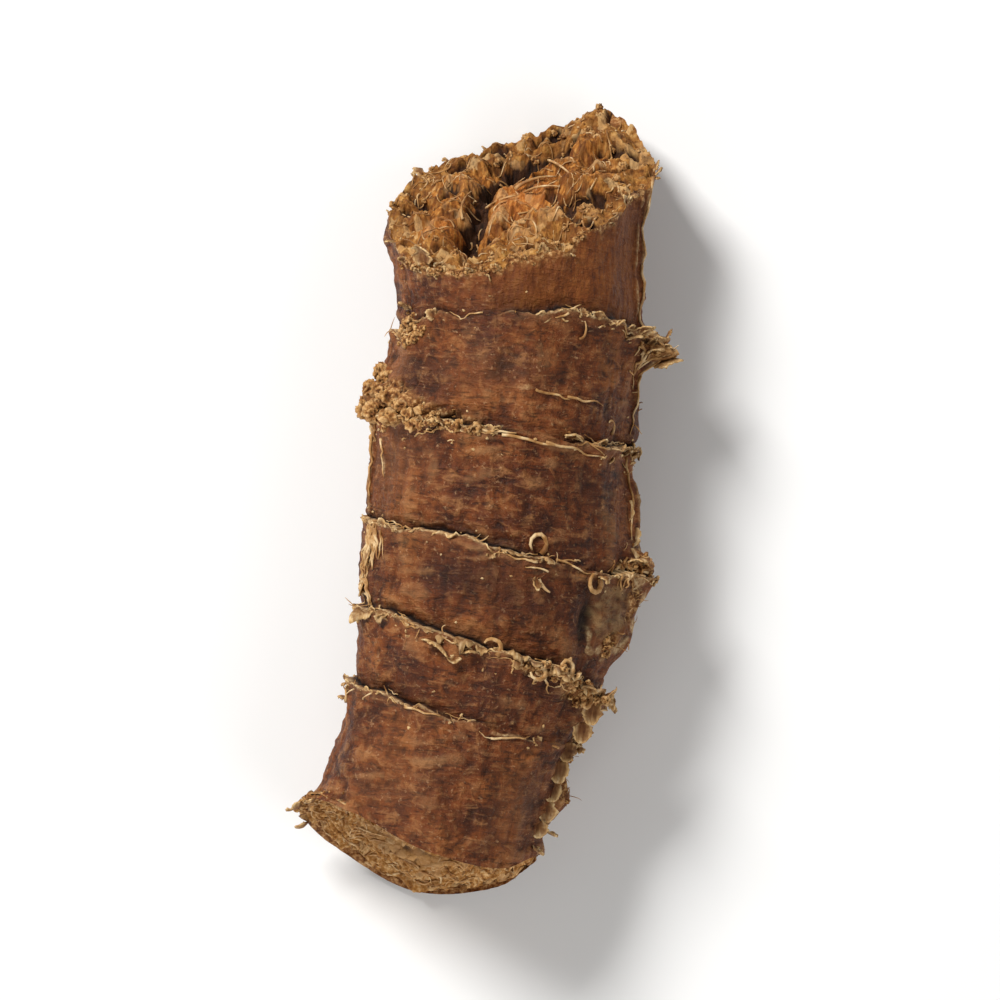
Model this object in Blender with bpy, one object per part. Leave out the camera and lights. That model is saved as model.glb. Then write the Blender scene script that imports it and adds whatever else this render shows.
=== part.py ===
"""A dried galangal rhizome: one woody piece, snapped off at one end and sliced at the other.

It lies along Y, snapped end towards +Y, on the flat that it dried with underneath. Its box is centred
over the origin and its lowest point is at z = 0. The skin is a tube of rows that follow the leaf scars,
so each scar keeps a crisp step, and all that stands on the skin is raised from it by a formula.
"""

import math

import bmesh
import bpy
import numpy as np
from mathutils import Vector, noise

MM = 0.001

# Every length below is in millimetres, and every angle in degrees round the tube, from +X up over +Z.
HALF_WIDTH = 9.5
HALF_HEIGHT = 8.7
FLAT_DEPTH = 0.40

# The spine, from the sliced end to the snapped end:
# place along Y, place across X, share of the half width, share of the half height.
SPINE = (
    (-28.0, -2.2, 0.86, 0.84),
    (-22.0, -1.2, 0.88, 0.89),
    (-15.0, 0.2, 0.91, 0.94),
    (-10.0, 1.2, 0.98, 1.00),
    (-4.0, 1.3, 1.02, 1.01),
    (2.0, 1.1, 1.00, 0.98),
    (8.0, 1.1, 0.97, 1.00),
    (13.0, 1.4, 0.93, 0.97),
    (20.0, 0.7, 0.97, 0.93),
    (28.0, 0.6, 0.94, 0.86),
)

# The edge of each end: angle, place along Y.
SLICED_EDGE = (
    (0, -24.9),
    (45, -26.1),
    (90, -25.2),
    (135, -23.0),
    (180, -22.7),
    (225, -26.2),
    (270, -28.9),
    (315, -28.0),
)
SNAPPED_EDGE = (
    (0, 25.4),
    (45, 21.1),
    (90, 17.8),
    (135, 16.7),
    (180, 19.5),
    (225, 24.5),
    (270, 27.3),
    (315, 29.7),
)

# The leaf scars that ring the skin, from the sliced end up: place along Y, how far the ring leans at its
# right side, and at its top, height of its ragged lip, the angle where it fades and the spread of that.
SCARS = (
    (-15.0, -1.6, -0.5, 0.40, 55, 50),
    (-10.6, -2.4, 0.6, 0.70, 182, 12),
    (-3.0, -1.2, 0.2, 0.50, 52, 16),
    (5.7, -0.5, -0.3, 0.60, 72, 22),
    (12.6, 0.8, 1.7, 0.50, 112, 24),
)
SCAR_FADE = 0.8
SCAR_GROOVE = 0.45
LIP_REACH = 1.3
GROOVE_REACH = 0.8
SCAR_WANDER = 0.55
BARK_SEED = 11

# Shares of the way from one ring to the next at which the skin has a row of points.
ROWS_BETWEEN_RINGS = (0.03, 0.11, 0.22, 0.36, 0.51, 0.66, 0.79, 0.90, 0.97)
POINTS_ROUND = 76

# Shares of the way from the edge of an end to its middle.
SLICED_FACE_ROWS = (0.06, 0.16, 0.30, 0.44, 0.54, 0.64, 0.80)
SNAPPED_FACE_ROWS = (0.05, 0.12, 0.20, 0.28, 0.36, 0.44, 0.52, 0.60, 0.68, 0.77, 0.87)

# Knobs and root scars on the skin: place along Y, angle, radius, height.
LEFT_KNOBS = ((7.2, 175, 1.3, 1.0), (7.6, 157, 1.1, 0.9), (6.4, 143, 1.2, 1.0), (6.6, 126, 1.0, 0.7))
RIGHT_KNOBS = ((-13.4, 24, 1.3, 0.9), (-20.8, 12, 1.5, 0.6), (12.7, 3, 1.4, 1.9), (-3.4, 10, 1.3, 0.8))
ROOT_SCARS = (
    (-18.6, 232, 1.3, 0.5),
    (-12.0, 318, 1.5, 0.6),
    (-5.6, 214, 1.4, 0.6),
    (1.2, 330, 1.3, 0.5),
    (8.6, 222, 1.5, 0.6),
    (15.6, 306, 1.4, 0.6),
    (18.8, 200, 1.2, 0.5),
)
# The flat stub of a shoot, long along Y, low on the right side, and the groove along its left.
SIDE_STUB = (-7.0, 11, 1.9, 0.75)
SIDE_GROOVE = (-7.4, 43, 0.9, -0.6)
SIDE_STUB_LENGTHENING = 1.7

# The frayed seam where old leaf bases end down the right side, and the flared lip of the slice.
SEAM_ANGLE = 6
SEAM_HALF_SPREAD = 9
SEAM_HEIGHT = 0.7
SLICE_LIP = 1.7
SLICE_LIP_ANGLE = 196
SLICE_LIP_SPREAD = 38
SLICE_LIP_REACH = 0.9

# The bare band below the snapped end, where the outer skin has come away.
BARE_ANGLE = 55
BARE_HALF_SPREAD = 40
BARE_DEPTH = 0.35

# The snapped face: its ragged edge, the crack that parts its rind from its core, and its lumps.
# The crack runs through these points: angle, share of the way from the middle to the edge, depth, half width.
SNAP_RAGGED = 0.6
SNAP_LIP = 0.3
CRACK = (
    (300, 0.66, 0.8, 0.9),
    (288, 0.56, 2.8, 1.4),
    (266, 0.47, 3.4, 1.6),
    (240, 0.38, 2.8, 1.3),
    (215, 0.33, 1.6, 0.8),
    (170, 0.34, 1.6, 0.8),
    (152, 0.42, 2.2, 0.9),
    (134, 0.58, 1.8, 0.8),
    (118, 0.80, 0.8, 0.6),
)
CORE_RISE = 0.7
CORE_HALF_WIDTH = 3.4
FACE_LUMPS = 0.8

# Knobs on the snapped face: angle, share of the way to its middle, radius, height.
FACE_KNOBS = ((22, 0.38, 2.3, 1.4), (78, 0.42, 1.9, 0.9), (150, 0.28, 1.7, 0.7), (330, 0.30, 2.0, 0.8))

# The sliced face: dished, with a fine step where the core meets the rind.
DISH_DEPTH = 0.7
CORE_SHARE = 0.46
CORE_STEP = 0.35

BARK_BROWN = (0.150, 0.068, 0.034, 1.0)
BARK_ROUGHNESS = 0.62


def smooth_curve(knots, values, at):
    """The values at these places of a smooth curve through the knots."""
    knots = np.asarray(knots, float)
    values = np.asarray(values, float)
    slopes = np.gradient(values, knots)
    i = np.clip(np.searchsorted(knots, at) - 1, 0, len(knots) - 2)
    step = knots[i + 1] - knots[i]
    t = (at - knots[i]) / step
    blend = t * t * (3 - 2 * t)
    bend = slopes[i] * t * (1 - t) ** 2 - slopes[i + 1] * t * t * (1 - t)
    return values[i] + (values[i + 1] - values[i]) * blend + step * bend


def edge_round(edge, angles):
    """The place along Y of an end's smooth edge at these angles."""
    before = [(angle - 360, along) for angle, along in edge]
    after = [(angle + 360, along) for angle, along in edge]
    degrees, places = zip(*before, *edge, *after)
    return smooth_curve(degrees, places, angles)


def lumps(points, size, seed):
    """Smooth noise from about -1 to 1, in lumps of about this size, at each point."""
    shift = Vector((seed * 7.31, seed * 3.17, seed * 5.83))
    return np.array([noise.noise(Vector(point) / size + shift) for point in points])


def apart(angles, middle):
    """How far these angles are from the middle one, from -180 to 180."""
    return (angles - middle + 180) % 360 - 180


def bell(distance, spread):
    """A bump that is 1 in the middle and fades out over the spread."""
    return np.exp(-((distance / spread) ** 2))


def on_spine(along, angles):
    """The spine's middle and the skin's half width and half height at each place along Y."""
    places, across, widths, heights = zip(*SPINE)
    middle = np.stack(
        [
            smooth_curve(places, across, along),
            along,
            np.full(len(angles), HALF_HEIGHT - FLAT_DEPTH),
        ],
        axis=1,
    )
    half_width = HALF_WIDTH * smooth_curve(places, widths, along)
    half_height = HALF_HEIGHT * smooth_curve(places, heights, along)
    return middle, half_width, half_height


def outward(angles):
    """The direction out of the tube at each angle."""
    turn = np.radians(angles)
    return np.stack([np.cos(turn), np.zeros(len(turn)), np.sin(turn)], axis=1)


def scar_line(scar, seed, angles):
    """The place along Y of a leaf scar, which leans and wanders as it goes round."""
    along, right, top = scar[:3]
    way = outward(angles)
    wander = SCAR_WANDER * (lumps(way, 0.5, seed) + 0.6 * lumps(way, 0.2, seed + 5))
    return along + right * way[:, 0] + top * way[:, 2] + wander


def knob(along, angles, spec, lengthening=1.0):
    """A rounded knob on the skin, or a dent where its height is below 0."""
    place, angle, radius, height = spec
    round_way = np.radians(apart(angles, angle)) * HALF_WIDTH
    return height * bell(np.hypot((along - place) / lengthening, round_way), radius)


def pitted_scar(along, angles, spec):
    """A scar with a raised rim and a sunken middle, where a root came off."""
    place, angle, radius, height = spec
    round_way = np.radians(apart(angles, angle)) * HALF_WIDTH
    distance = np.hypot(along - place, round_way)
    return height * (bell(distance - radius, 0.5 * radius) - 0.8 * bell(distance, 0.6 * radius))


def skin_relief(along, angles, bare):
    """How far the skin stands out from the plain tube, away from its leaf scars."""
    stretched = bare * (1, 0.3, 1)
    relief = 0.40 * lumps(bare, 7.0, 1) + 0.22 * lumps(bare, 3.0, 2) + 0.20 * lumps(stretched, 1.9, 3)
    for spec in LEFT_KNOBS + RIGHT_KNOBS:
        relief = relief + knob(along, angles, spec)
    for spec in ROOT_SCARS:
        relief = relief + pitted_scar(along, angles, spec)
    for spec in (SIDE_STUB, SIDE_GROOVE):
        relief = relief + knob(along, angles, spec, SIDE_STUB_LENGTHENING)
    fray = np.clip(0.4 + 1.2 * lumps(bare * (0, 1, 0), 2.6, 4), 0, 1)
    relief = relief + SEAM_HEIGHT * fray * bell(apart(angles, SEAM_ANGLE), SEAM_HALF_SPREAD)
    band = np.clip((along - scar_line(SCARS[-1], BARK_SEED + len(SCARS) - 1, angles)) / 0.4, 0, 1)
    relief = relief - BARE_DEPTH * band * np.clip(2 * bell(apart(angles, BARE_ANGLE), BARE_HALF_SPREAD), 0, 1)
    past_edge = along - edge_round(SLICED_EDGE, angles)
    flare = bell(apart(angles, SLICE_LIP_ANGLE), SLICE_LIP_SPREAD)
    return relief + SLICE_LIP * flare * np.exp(-past_edge / SLICE_LIP_REACH)


def skin_row(along, angles, scar_relief):
    """One row of points round the skin."""
    middle, half_width, half_height = on_spine(along, angles)
    way = outward(angles)
    bare = middle + way * np.stack([half_width, 0 * along, half_height], axis=1)
    return bare + way * (skin_relief(along, angles, bare) + scar_relief)[:, None]


def ring_lines(angles):
    """The edges of both ends and the leaf scars between them, from the sliced end up."""
    scars = [scar_line(scar, seed, angles) for seed, scar in enumerate(SCARS, start=BARK_SEED)]
    return [edge_round(SLICED_EDGE, angles), *scars, edge_round(SNAPPED_EDGE, angles)]


def scar_strength(ring, angles):
    """How strongly a scar shows at these angles, from 1 down to where it has faded."""
    if not 0 <= ring < len(SCARS):
        return np.zeros(len(angles))
    angle, spread = SCARS[ring][4:]
    return 1 - SCAR_FADE * bell(apart(angles, angle), spread)


def ring_relief(share, gap, angles, lower, upper):
    """How a leaf scar's groove and the next one's lip shape the skin between the two."""
    lip = SCARS[upper][3] * scar_strength(upper, angles) if upper < len(SCARS) else SNAP_LIP
    groove = SCAR_GROOVE * scar_strength(lower, angles)
    ragged = np.clip(0.9 + 1.2 * lumps(outward(angles), 0.22, 31 + upper), 0.2, 1.4)
    rise = lip * ragged * np.exp(-(1 - share) * gap / LIP_REACH)
    return rise - groove * np.exp(-share * gap / GROOVE_REACH)


def skin_rows(angles):
    """All rows of the skin, each close set of them stepping over a leaf scar."""
    rings = ring_lines(angles)
    rings[-1] = rings[-1] + SNAP_RAGGED * lumps(outward(angles), 0.25, 21)
    rows = []
    for i, (low, high) in enumerate(zip(rings, rings[1:])):
        for share in ROWS_BETWEEN_RINGS:
            along = low + share * (high - low)
            rows.append(skin_row(along, angles, ring_relief(share, high - low, angles, i - 1, i)))
    return rows


def face_rows(rim, shares, relief):
    """Rows from an end's rim to its middle, with a relief along the way that the face looks."""
    middle = rim.mean(axis=0)
    spokes = rim - middle
    looks = np.cross(spokes, np.roll(spokes, -1, axis=0)).sum(axis=0)
    looks = looks * math.copysign(1 / np.linalg.norm(looks), looks[1] * middle[1])
    rows = []
    for share in (*shares, 1.0):
        flat = rim + share * (middle - rim)
        rows.append(flat + relief(share, flat)[:, None] * looks)
    return rows


def sliced_relief(angles):
    """The sliced face's dish, with a step at its core."""

    def relief(share, flat):
        dish = -DISH_DEPTH * math.sin(0.5 * math.pi * share)
        step = CORE_STEP * math.tanh((share - CORE_SHARE) / 0.05)
        return dish + step + 0.2 * lumps(flat, 1.8, 41)

    return relief


def on_face(angle, outward_share):
    """Places on an end's face, seen square on, as complex numbers in millimetres from its middle."""
    return HALF_WIDTH * outward_share * np.exp(1j * np.radians(angle))


def crack_depth(spots):
    """How deep the crack is at these places on the snapped face."""
    depth = np.zeros(len(spots))
    corners = [(on_face(angle, share), np.array(size)) for angle, share, *size in CRACK]
    for (start, start_size), (stop, stop_size) in zip(corners, corners[1:]):
        run = stop - start
        share = np.clip(((spots - start) * run.conjugate()).real / abs(run) ** 2, 0, 1)
        away = np.abs(spots - start - share * run)
        deep, half_width = start_size[:, None] + share * (stop_size - start_size)[:, None]
        depth = np.maximum(depth, deep * bell(away, half_width))
    return depth


def snapped_relief(angles):
    """The snapped face's knobs and lumps, its crack and the core that stands up inside."""

    def relief(share, flat):
        spots = on_face(angles, 1 - share)
        ragged = FACE_LUMPS * (lumps(flat, 2.6, 51) + 0.5 * lumps(flat, 1.3, 52))
        for angle, knob_share, radius, height in FACE_KNOBS:
            ragged = ragged + height * bell(np.abs(spots - on_face(angle, 1 - knob_share)), radius)
        fade = min(1.0, share / 0.15)
        return CORE_RISE * bell(np.abs(spots), CORE_HALF_WIDTH) - crack_depth(spots) + fade * ragged

    return relief


def all_rows():
    """Every row of points, from the middle of the sliced face to the middle of the snapped one."""
    angles = np.arange(POINTS_ROUND) * 360 / POINTS_ROUND
    skin = skin_rows(angles)
    sliced = face_rows(skin[0], SLICED_FACE_ROWS, sliced_relief(angles))
    snapped = face_rows(skin[-1], SNAPPED_FACE_ROWS, snapped_relief(angles))
    # The last row of a face is its middle, where all points meet in one.
    ends = [row.mean(axis=0, keepdims=True).repeat(POINTS_ROUND, axis=0) for row in (sliced.pop(), snapped.pop())]
    return np.array([ends[0], *sliced[::-1], *skin, *snapped, ends[1]])


def laid_flat(rows):
    """The rows set down on z = 0 with their lowest stretch flattened, and centred over the origin."""
    rows[..., 2] = np.maximum(rows[..., 2], 0)
    box = rows.reshape(-1, 3)
    rows[..., :2] -= (box.min(axis=0) + box.max(axis=0))[:2] / 2
    return rows


def bark_material():
    """Dry red-brown bark."""
    material = bpy.data.materials.new("galangal_bark")
    material.use_nodes = True
    shader = material.node_tree.nodes["Principled BSDF"]
    shader.inputs["Base Color"].default_value = BARK_BROWN
    shader.inputs["Roughness"].default_value = BARK_ROUGHNESS
    shader.inputs["Metallic"].default_value = 0.0
    return material


def rhizome():
    """The whole piece: a sphere whose rows are moved to the rows of the rhizome, pole to pole along Y."""
    rows = laid_flat(all_rows())
    shape = bmesh.new()
    bmesh.ops.create_uvsphere(shape, u_segments=POINTS_ROUND, v_segments=len(rows) - 1, radius=1)
    for vertex in shape.verts:
        from_pole = math.acos(max(-1.0, min(1.0, -vertex.co.z)))
        row = round(from_pole / math.pi * (len(rows) - 1))
        turn = -math.atan2(vertex.co.y, vertex.co.x) / math.tau
        vertex.co = Vector(rows[row, round(turn * POINTS_ROUND) % POINTS_ROUND]) * MM
    mesh = bpy.data.meshes.new("rhizome")
    shape.to_mesh(mesh)
    shape.free()
    mesh.shade_smooth()
    mesh.materials.append(bark_material())
    return bpy.data.objects.new("rhizome", mesh)


def main():
    for old in list(bpy.data.objects):
        bpy.data.objects.remove(old)
    galangal = bpy.data.collections.new("galangal")
    bpy.context.scene.collection.children.link(galangal)
    galangal.objects.link(rhizome())


main()
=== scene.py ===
"""The looks of a dried galangal rhizome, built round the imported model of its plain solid.

The skin and both end faces are the solid's own form, drawn again with many more points and the fine relief
that the solid leaves out. On them sit the crinkled paper left of the leaves at each leaf scar, scraps of
loose skin, crumbs of broken cork and loose fibres.
"""

import math
import random

import bmesh
import bpy
import numpy as np
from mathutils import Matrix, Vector, noise


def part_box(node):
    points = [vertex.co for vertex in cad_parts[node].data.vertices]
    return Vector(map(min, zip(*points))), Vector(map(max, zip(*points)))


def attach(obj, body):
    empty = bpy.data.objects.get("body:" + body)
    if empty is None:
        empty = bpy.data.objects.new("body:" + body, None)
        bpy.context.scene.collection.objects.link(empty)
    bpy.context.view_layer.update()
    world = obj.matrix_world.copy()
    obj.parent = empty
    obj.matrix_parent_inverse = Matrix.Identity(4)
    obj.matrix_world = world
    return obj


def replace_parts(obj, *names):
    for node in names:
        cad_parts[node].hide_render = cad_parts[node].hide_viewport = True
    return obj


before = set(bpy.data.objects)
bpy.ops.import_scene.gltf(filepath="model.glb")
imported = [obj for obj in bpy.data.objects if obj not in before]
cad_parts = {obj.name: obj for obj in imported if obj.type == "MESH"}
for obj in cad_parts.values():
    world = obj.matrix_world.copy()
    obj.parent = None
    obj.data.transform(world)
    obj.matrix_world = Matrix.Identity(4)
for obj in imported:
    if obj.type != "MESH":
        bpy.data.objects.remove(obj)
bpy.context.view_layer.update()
NODE_BOX = np.array(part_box("rhizome")) * 1000

MM = 0.001

# The rhizome's form, as its solid has it. Lengths are in millimetres, and angles in degrees round the
# tube, from +X up over +Z.
HALF_WIDTH = 9.5
HALF_HEIGHT = 8.7
FLAT_DEPTH = 0.40
TOP = 90

# The spine, from the sliced end to the snapped end:
# place along Y, place across X, share of the half width, share of the half height.
SPINE = (
    (-28.0, -2.2, 0.86, 0.84),
    (-22.0, -1.2, 0.88, 0.89),
    (-15.0, 0.2, 0.91, 0.94),
    (-10.0, 1.2, 0.98, 1.00),
    (-4.0, 1.3, 1.02, 1.01),
    (2.0, 1.1, 1.00, 0.98),
    (8.0, 1.1, 0.97, 1.00),
    (13.0, 1.4, 0.93, 0.97),
    (20.0, 0.7, 0.97, 0.93),
    (28.0, 0.6, 0.94, 0.86),
)

# The edge of each end: angle, place along Y.
SLICED_EDGE = (
    (0, -24.9),
    (45, -26.1),
    (90, -25.2),
    (135, -23.0),
    (180, -22.7),
    (225, -26.2),
    (270, -28.9),
    (315, -28.0),
)
SNAPPED_EDGE = (
    (0, 25.4),
    (45, 21.1),
    (90, 17.8),
    (135, 16.7),
    (180, 19.5),
    (225, 24.5),
    (270, 27.3),
    (315, 29.7),
)

# The leaf scars that ring the skin, from the sliced end up: place along Y, how far the ring leans at its
# right side, and at its top, height of its ragged lip, the angle where it fades and the spread of that.
SCARS = (
    (-15.0, -1.6, -0.5, 0.40, 55, 50),
    (-10.6, -2.4, 0.6, 0.70, 182, 12),
    (-3.0, -1.2, 0.2, 0.50, 52, 16),
    (5.7, -0.5, -0.3, 0.60, 72, 22),
    (12.6, 0.8, 1.7, 0.50, 112, 24),
)
SCAR_FADE = 0.8
SCAR_GROOVE = 0.45
LIP_REACH = 1.3
GROOVE_REACH = 0.8
SCAR_WANDER = 0.55
BARK_SEED = 11

# Knobs and root scars on the skin: place along Y, angle, radius, height.
LEFT_KNOBS = ((7.2, 175, 1.3, 1.0), (7.6, 157, 1.1, 0.9), (6.4, 143, 1.2, 1.0), (6.6, 126, 1.0, 0.7))
RIGHT_KNOBS = ((-13.4, 24, 1.3, 0.9), (-20.8, 12, 1.5, 0.6), (12.7, 3, 1.4, 1.9), (-3.4, 10, 1.3, 0.8))
ROOT_SCARS = (
    (-18.6, 232, 1.3, 0.5),
    (-12.0, 318, 1.5, 0.6),
    (-5.6, 214, 1.4, 0.6),
    (1.2, 330, 1.3, 0.5),
    (8.6, 222, 1.5, 0.6),
    (15.6, 306, 1.4, 0.6),
    (18.8, 200, 1.2, 0.5),
)
# The flat stub of a shoot, long along Y, low on the right side, and the groove along its left.
SIDE_STUB = (-7.0, 11, 1.9, 0.75)
SIDE_GROOVE = (-7.4, 43, 0.9, -0.6)
SIDE_STUB_LENGTHENING = 1.7

# The frayed seam where old leaf bases end down the right side, and the flared lip of the slice.
SEAM_ANGLE = 6
SEAM_HALF_SPREAD = 9
SEAM_HEIGHT = 0.7
SLICE_LIP = 1.7
SLICE_LIP_ANGLE = 196
SLICE_LIP_SPREAD = 38
SLICE_LIP_REACH = 0.9

# Broad swellings of the tube: height, size, how much they are drawn out along Y.
SWELLINGS = ((0.40, 7.0, 1.0), (0.22, 3.0, 1.0), (0.20, 1.9, 0.3))

# The bare band below the snapped end, where the outer skin has come away.
BARE_ANGLE = 55
BARE_HALF_SPREAD = 40
BARE_DEPTH = 0.35

# The snapped face: its ragged edge, the crack that parts its rind from its core, and its lumps.
# The crack runs through these points: angle, share of the way from the middle to the edge, depth, half width.
SNAP_RAGGED = 0.6
SNAP_LIP = 0.3
CRACK = (
    (300, 0.66, 0.8, 0.9),
    (288, 0.56, 2.8, 1.4),
    (266, 0.47, 3.4, 1.6),
    (240, 0.38, 2.8, 1.3),
    (215, 0.33, 1.6, 0.8),
    (170, 0.34, 1.6, 0.8),
    (152, 0.42, 2.2, 0.9),
    (134, 0.58, 1.8, 0.8),
    (118, 0.80, 0.8, 0.6),
)
CORE_RISE = 0.7
CORE_HALF_WIDTH = 3.4
FACE_LUMPS = 0.8
FACE_KNOBS = ((22, 0.38, 2.3, 1.4), (78, 0.42, 1.9, 0.9), (150, 0.28, 1.7, 0.7), (330, 0.30, 2.0, 0.8))

# The strands of the snapped face: their bundles, the strings in them, and the grains of the rind's meal. The
# strings also show at one place in the rind, and the core has a smoother place: angle, share of the way out.
BUNDLE = 1.9
STRING = 0.6
MEAL_GRAIN = 0.75
STRINGY_SPOT = (158, 0.68)
STRINGY_REACH = 2.2
SMOOTH_SPOT = (100, 0.16)
SMOOTH_REACH = 2.8
PIT_DEPTH = 0.75
# The fine relief of both end faces fades out over this share of the way in from their rims.
RIM_FADE = 0.02

# The sliced face: dished, with a fine step where the core meets the rind. The knife dragged strings this wide
# round its rim, and left the cut ends of strings this wide in its core.
DISH_DEPTH = 0.7
CORE_SHARE = 0.46
CORE_STEP = 0.35
DRAGGED_LENGTH = 3.4
DRAGGED_WIDTH = 0.42
CUT_END = 0.8

# How finely the visible meshes are drawn: points round the tube, rows in the gap between two rings for
# each millimetre of it, and rows on each end face.
POINTS_ROUND = 480
ROWS_PER_MM = 4.25
SNAPPED_ROWS = 170
SLICED_ROWS = 100

# The fine relief of the dried skin: lengthwise furrows, fine threads along them, crosswise wrinkles and
# small dents. Each has its width, its length and its height.
FURROW = (1.5, 8.0, 0.12)
THREAD = (0.50, 3.2, 0.04)
WRINKLE = (0.75, 3.2, 0.17)
DENT = (0.9, 1.1, 0.05)

# Faint rings that never closed, and creases: place along Y, middle angle, half spread, height.
FAINT_RINGS = (
    (8.6, 83, 5, 0.16),
    (8.3, 56, 7, 0.16),
    (-6.3, 95, 10, 0.10),
    (-16.4, 64, 18, 0.14),
    (-15.6, 66, 3, 0.20),
    (-20.5, 215, 34, 0.14),
    (1.8, 246, 30, 0.14),
    (9.2, 300, 26, 0.16),
    (-7.0, 300, 22, 0.14),
    (17.0, 262, 34, 0.14),
)
FAINT_RING_HEIGHT = 0.2
FAINT_RING_WIDTH = 0.16

# Where the skin is crumbly, golden cork: place along Y, angle, half length, half spread in degrees.
CRUMBLY_SPOTS = (
    (7.2, 172, 1.5, 12),
    (7.4, 155, 1.3, 10),
    (6.5, 140, 1.3, 12),
    (6.1, 122, 0.7, 12),
    (5.8, 108, 0.4, 8),
    (12.2, 158, 1.0, 12),
    (12.9, 6, 1.1, 9),
    (-11.4, 60, 0.5, 14),
    (-12.6, 38, 0.9, 12),
    (-13.6, 21, 1.2, 8),
    (-3.0, 9, 1.6, 7),
    (-23.6, 192, 1.0, 22),
    (17.2, 128, 1.0, 26),
    (-18.2, 14, 4.6, 6),
    (-8.9, 24, 0.9, 5),
    (-6.4, 15, 1.6, 4),
)

# The stub's flat face: place along Y, angle, half length, half spread in degrees.
STUB_FACE = (-6.9, 27, 3.0, 18)

# Pale seams down both sides: angle, and where along Y each starts and stops.
SIDE_SEAMS = (
    (8.5, -2.0, 26.0),
    (13.5, 10.5, 26.0),
    (172.0, -2.6, 5.2),
    (154.0, -0.6, 4.0),
    (169.0, -9.5, -4.4),
)
SIDE_SEAM_HALF_WIDTH = 1.4
SIDE_SEAM_HEIGHT = 0.26

# Patches that dried lighter, above 0, or darker, and one patch of painted light: place along Y, angle,
# half length, half spread, how much.
TONES_AND_PAINTED_LIGHT = (
    (2.2, 148, 3.0, 18, 0.55),
    (9.5, 100, 2.6, 30, 0.25),
    (1.5, 50, 3.4, 20, -0.40),
    (-7.2, 70, 2.2, 22, -0.45),
    (-5.2, 100, 1.6, 22, -0.80),
    (9.6, 155, 1.4, 9, 0.70),
    # Painted light: lightens the skin low on the right, where it turns away from the lights.
    (-21.5, 46, 3.4, 16, 0.40),
    (-8.0, 96, 1.4, 24, 0.10),
    (-20.0, 118, 3.2, 24, 0.30),
    (-13.2, 100, 1.2, 26, -0.15),
    (15.0, 88, 1.6, 8, -0.85),
    (4.0, 246, 5.0, 32, -0.35),
    (-16.0, 300, 5.0, 30, 0.25),
)


def smooth_curve(knots, values, at):
    """The values at these places of a smooth curve through the knots."""
    knots = np.asarray(knots, float)
    values = np.asarray(values, float)
    slopes = np.gradient(values, knots)
    i = np.clip(np.searchsorted(knots, at) - 1, 0, len(knots) - 2)
    step = knots[i + 1] - knots[i]
    t = (at - knots[i]) / step
    blend = t * t * (3 - 2 * t)
    bend = slopes[i] * t * (1 - t) ** 2 - slopes[i + 1] * t * t * (1 - t)
    return values[i] + (values[i + 1] - values[i]) * blend + step * bend


def edge_round(edge, angles):
    """The place along Y of an end's smooth edge at these angles."""
    before = [(angle - 360, along) for angle, along in edge]
    after = [(angle + 360, along) for angle, along in edge]
    degrees, places = zip(*before, *edge, *after)
    return smooth_curve(degrees, places, angles)


# How far a seed moves the noise, and how a cell's middle is scrambled into a number for the whole cell.
SEED_SHIFT = np.array((7.31, 3.17, 5.83))
CELL_SCRAMBLE = (12.99, 78.23, 37.72)
CELL_SPREAD = 437.5


def lumps(points, size, seed):
    """Smooth noise from about -1 to 1, in lumps of about this size, at each point."""
    return np.array([noise.noise(point) for point in points / size + seed * SEED_SHIFT])


def creases(points, size, seed):
    """Noise from 0 to 1 with sharp valleys at 0 between rounded lumps of about this size."""
    return np.abs(lumps(points, size, seed)) * 2


def cells(points, size, seed):
    """Each point's distance from the wall of the cell that it is in, with cells of about this size, and a
    number from 0 to 1 that the whole cell shares."""
    found = [noise.voronoi(point) for point in points / size + seed * SEED_SHIFT]
    from_wall = np.array([near[1] - near[0] for near, _ in found]) * size
    middles = np.round([middle[0] for _, middle in found], 2)
    token = np.modf(np.abs(np.sin(middles @ CELL_SCRAMBLE)) * CELL_SPREAD)[0]
    return from_wall, token


def apart(angles, middle):
    """How far these angles are from the middle one, from -180 to 180."""
    return (angles - middle + 180) % 360 - 180


def bell(distance, spread):
    """A bump that is 1 in the middle and fades out over the spread."""
    return np.exp(-((distance / spread) ** 2))


def ramp(value, low, high):
    """0 below low, 1 above high and smooth between them."""
    t = np.clip((value - low) / (high - low), 0, 1)
    return t * t * (3 - 2 * t)


def outward(angles):
    """The direction out of the tube at each angle."""
    turn = np.radians(angles)
    return np.stack([np.cos(turn), np.zeros(len(turn)), np.sin(turn)], axis=1)


def scar_line(scar, seed, angles):
    """The place along Y of a leaf scar, which leans and wanders as it goes round."""
    along, right, top = scar[:3]
    way = outward(angles)
    wander = SCAR_WANDER * (lumps(way, 0.5, seed) + 0.6 * lumps(way, 0.2, seed + 5))
    return along + right * way[:, 0] + top * way[:, 2] + wander


def scar_strength(scar, angles):
    """How strongly a scar shows at these angles, from 1 down to where it has faded."""
    angle, spread = scar[4:]
    return 1 - SCAR_FADE * bell(apart(angles, angle), spread)


# The rings, worked out once at every angle where the skin has a point: both ends' edges and the leaf scars
# between them, with finer raggedness than the solid has.
ROUND = np.arange(POINTS_ROUND) * 360 / POINTS_ROUND
ROUND_WAY = outward(ROUND)
RINGS = np.array(
    [
        edge_round(SLICED_EDGE, ROUND),
        *(scar_line(scar, seed, ROUND) for seed, scar in enumerate(SCARS, start=BARK_SEED)),
        edge_round(SNAPPED_EDGE, ROUND) + SNAP_RAGGED * lumps(ROUND_WAY, 0.25, 21),
    ]
)
FINE_RAGGED, RAGGED, UNWORN = (
    np.array([lumps(ROUND_WAY, size, seed + i) for i in range(len(RINGS))])
    for size, seed in ((0.06, 60), (0.22, 31), (0.35, 37))
)
RINGS[1:-1] += 0.16 * FINE_RAGGED[1:-1] + 0.08 * lumps(ROUND_WAY, 0.025, 68)
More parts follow.
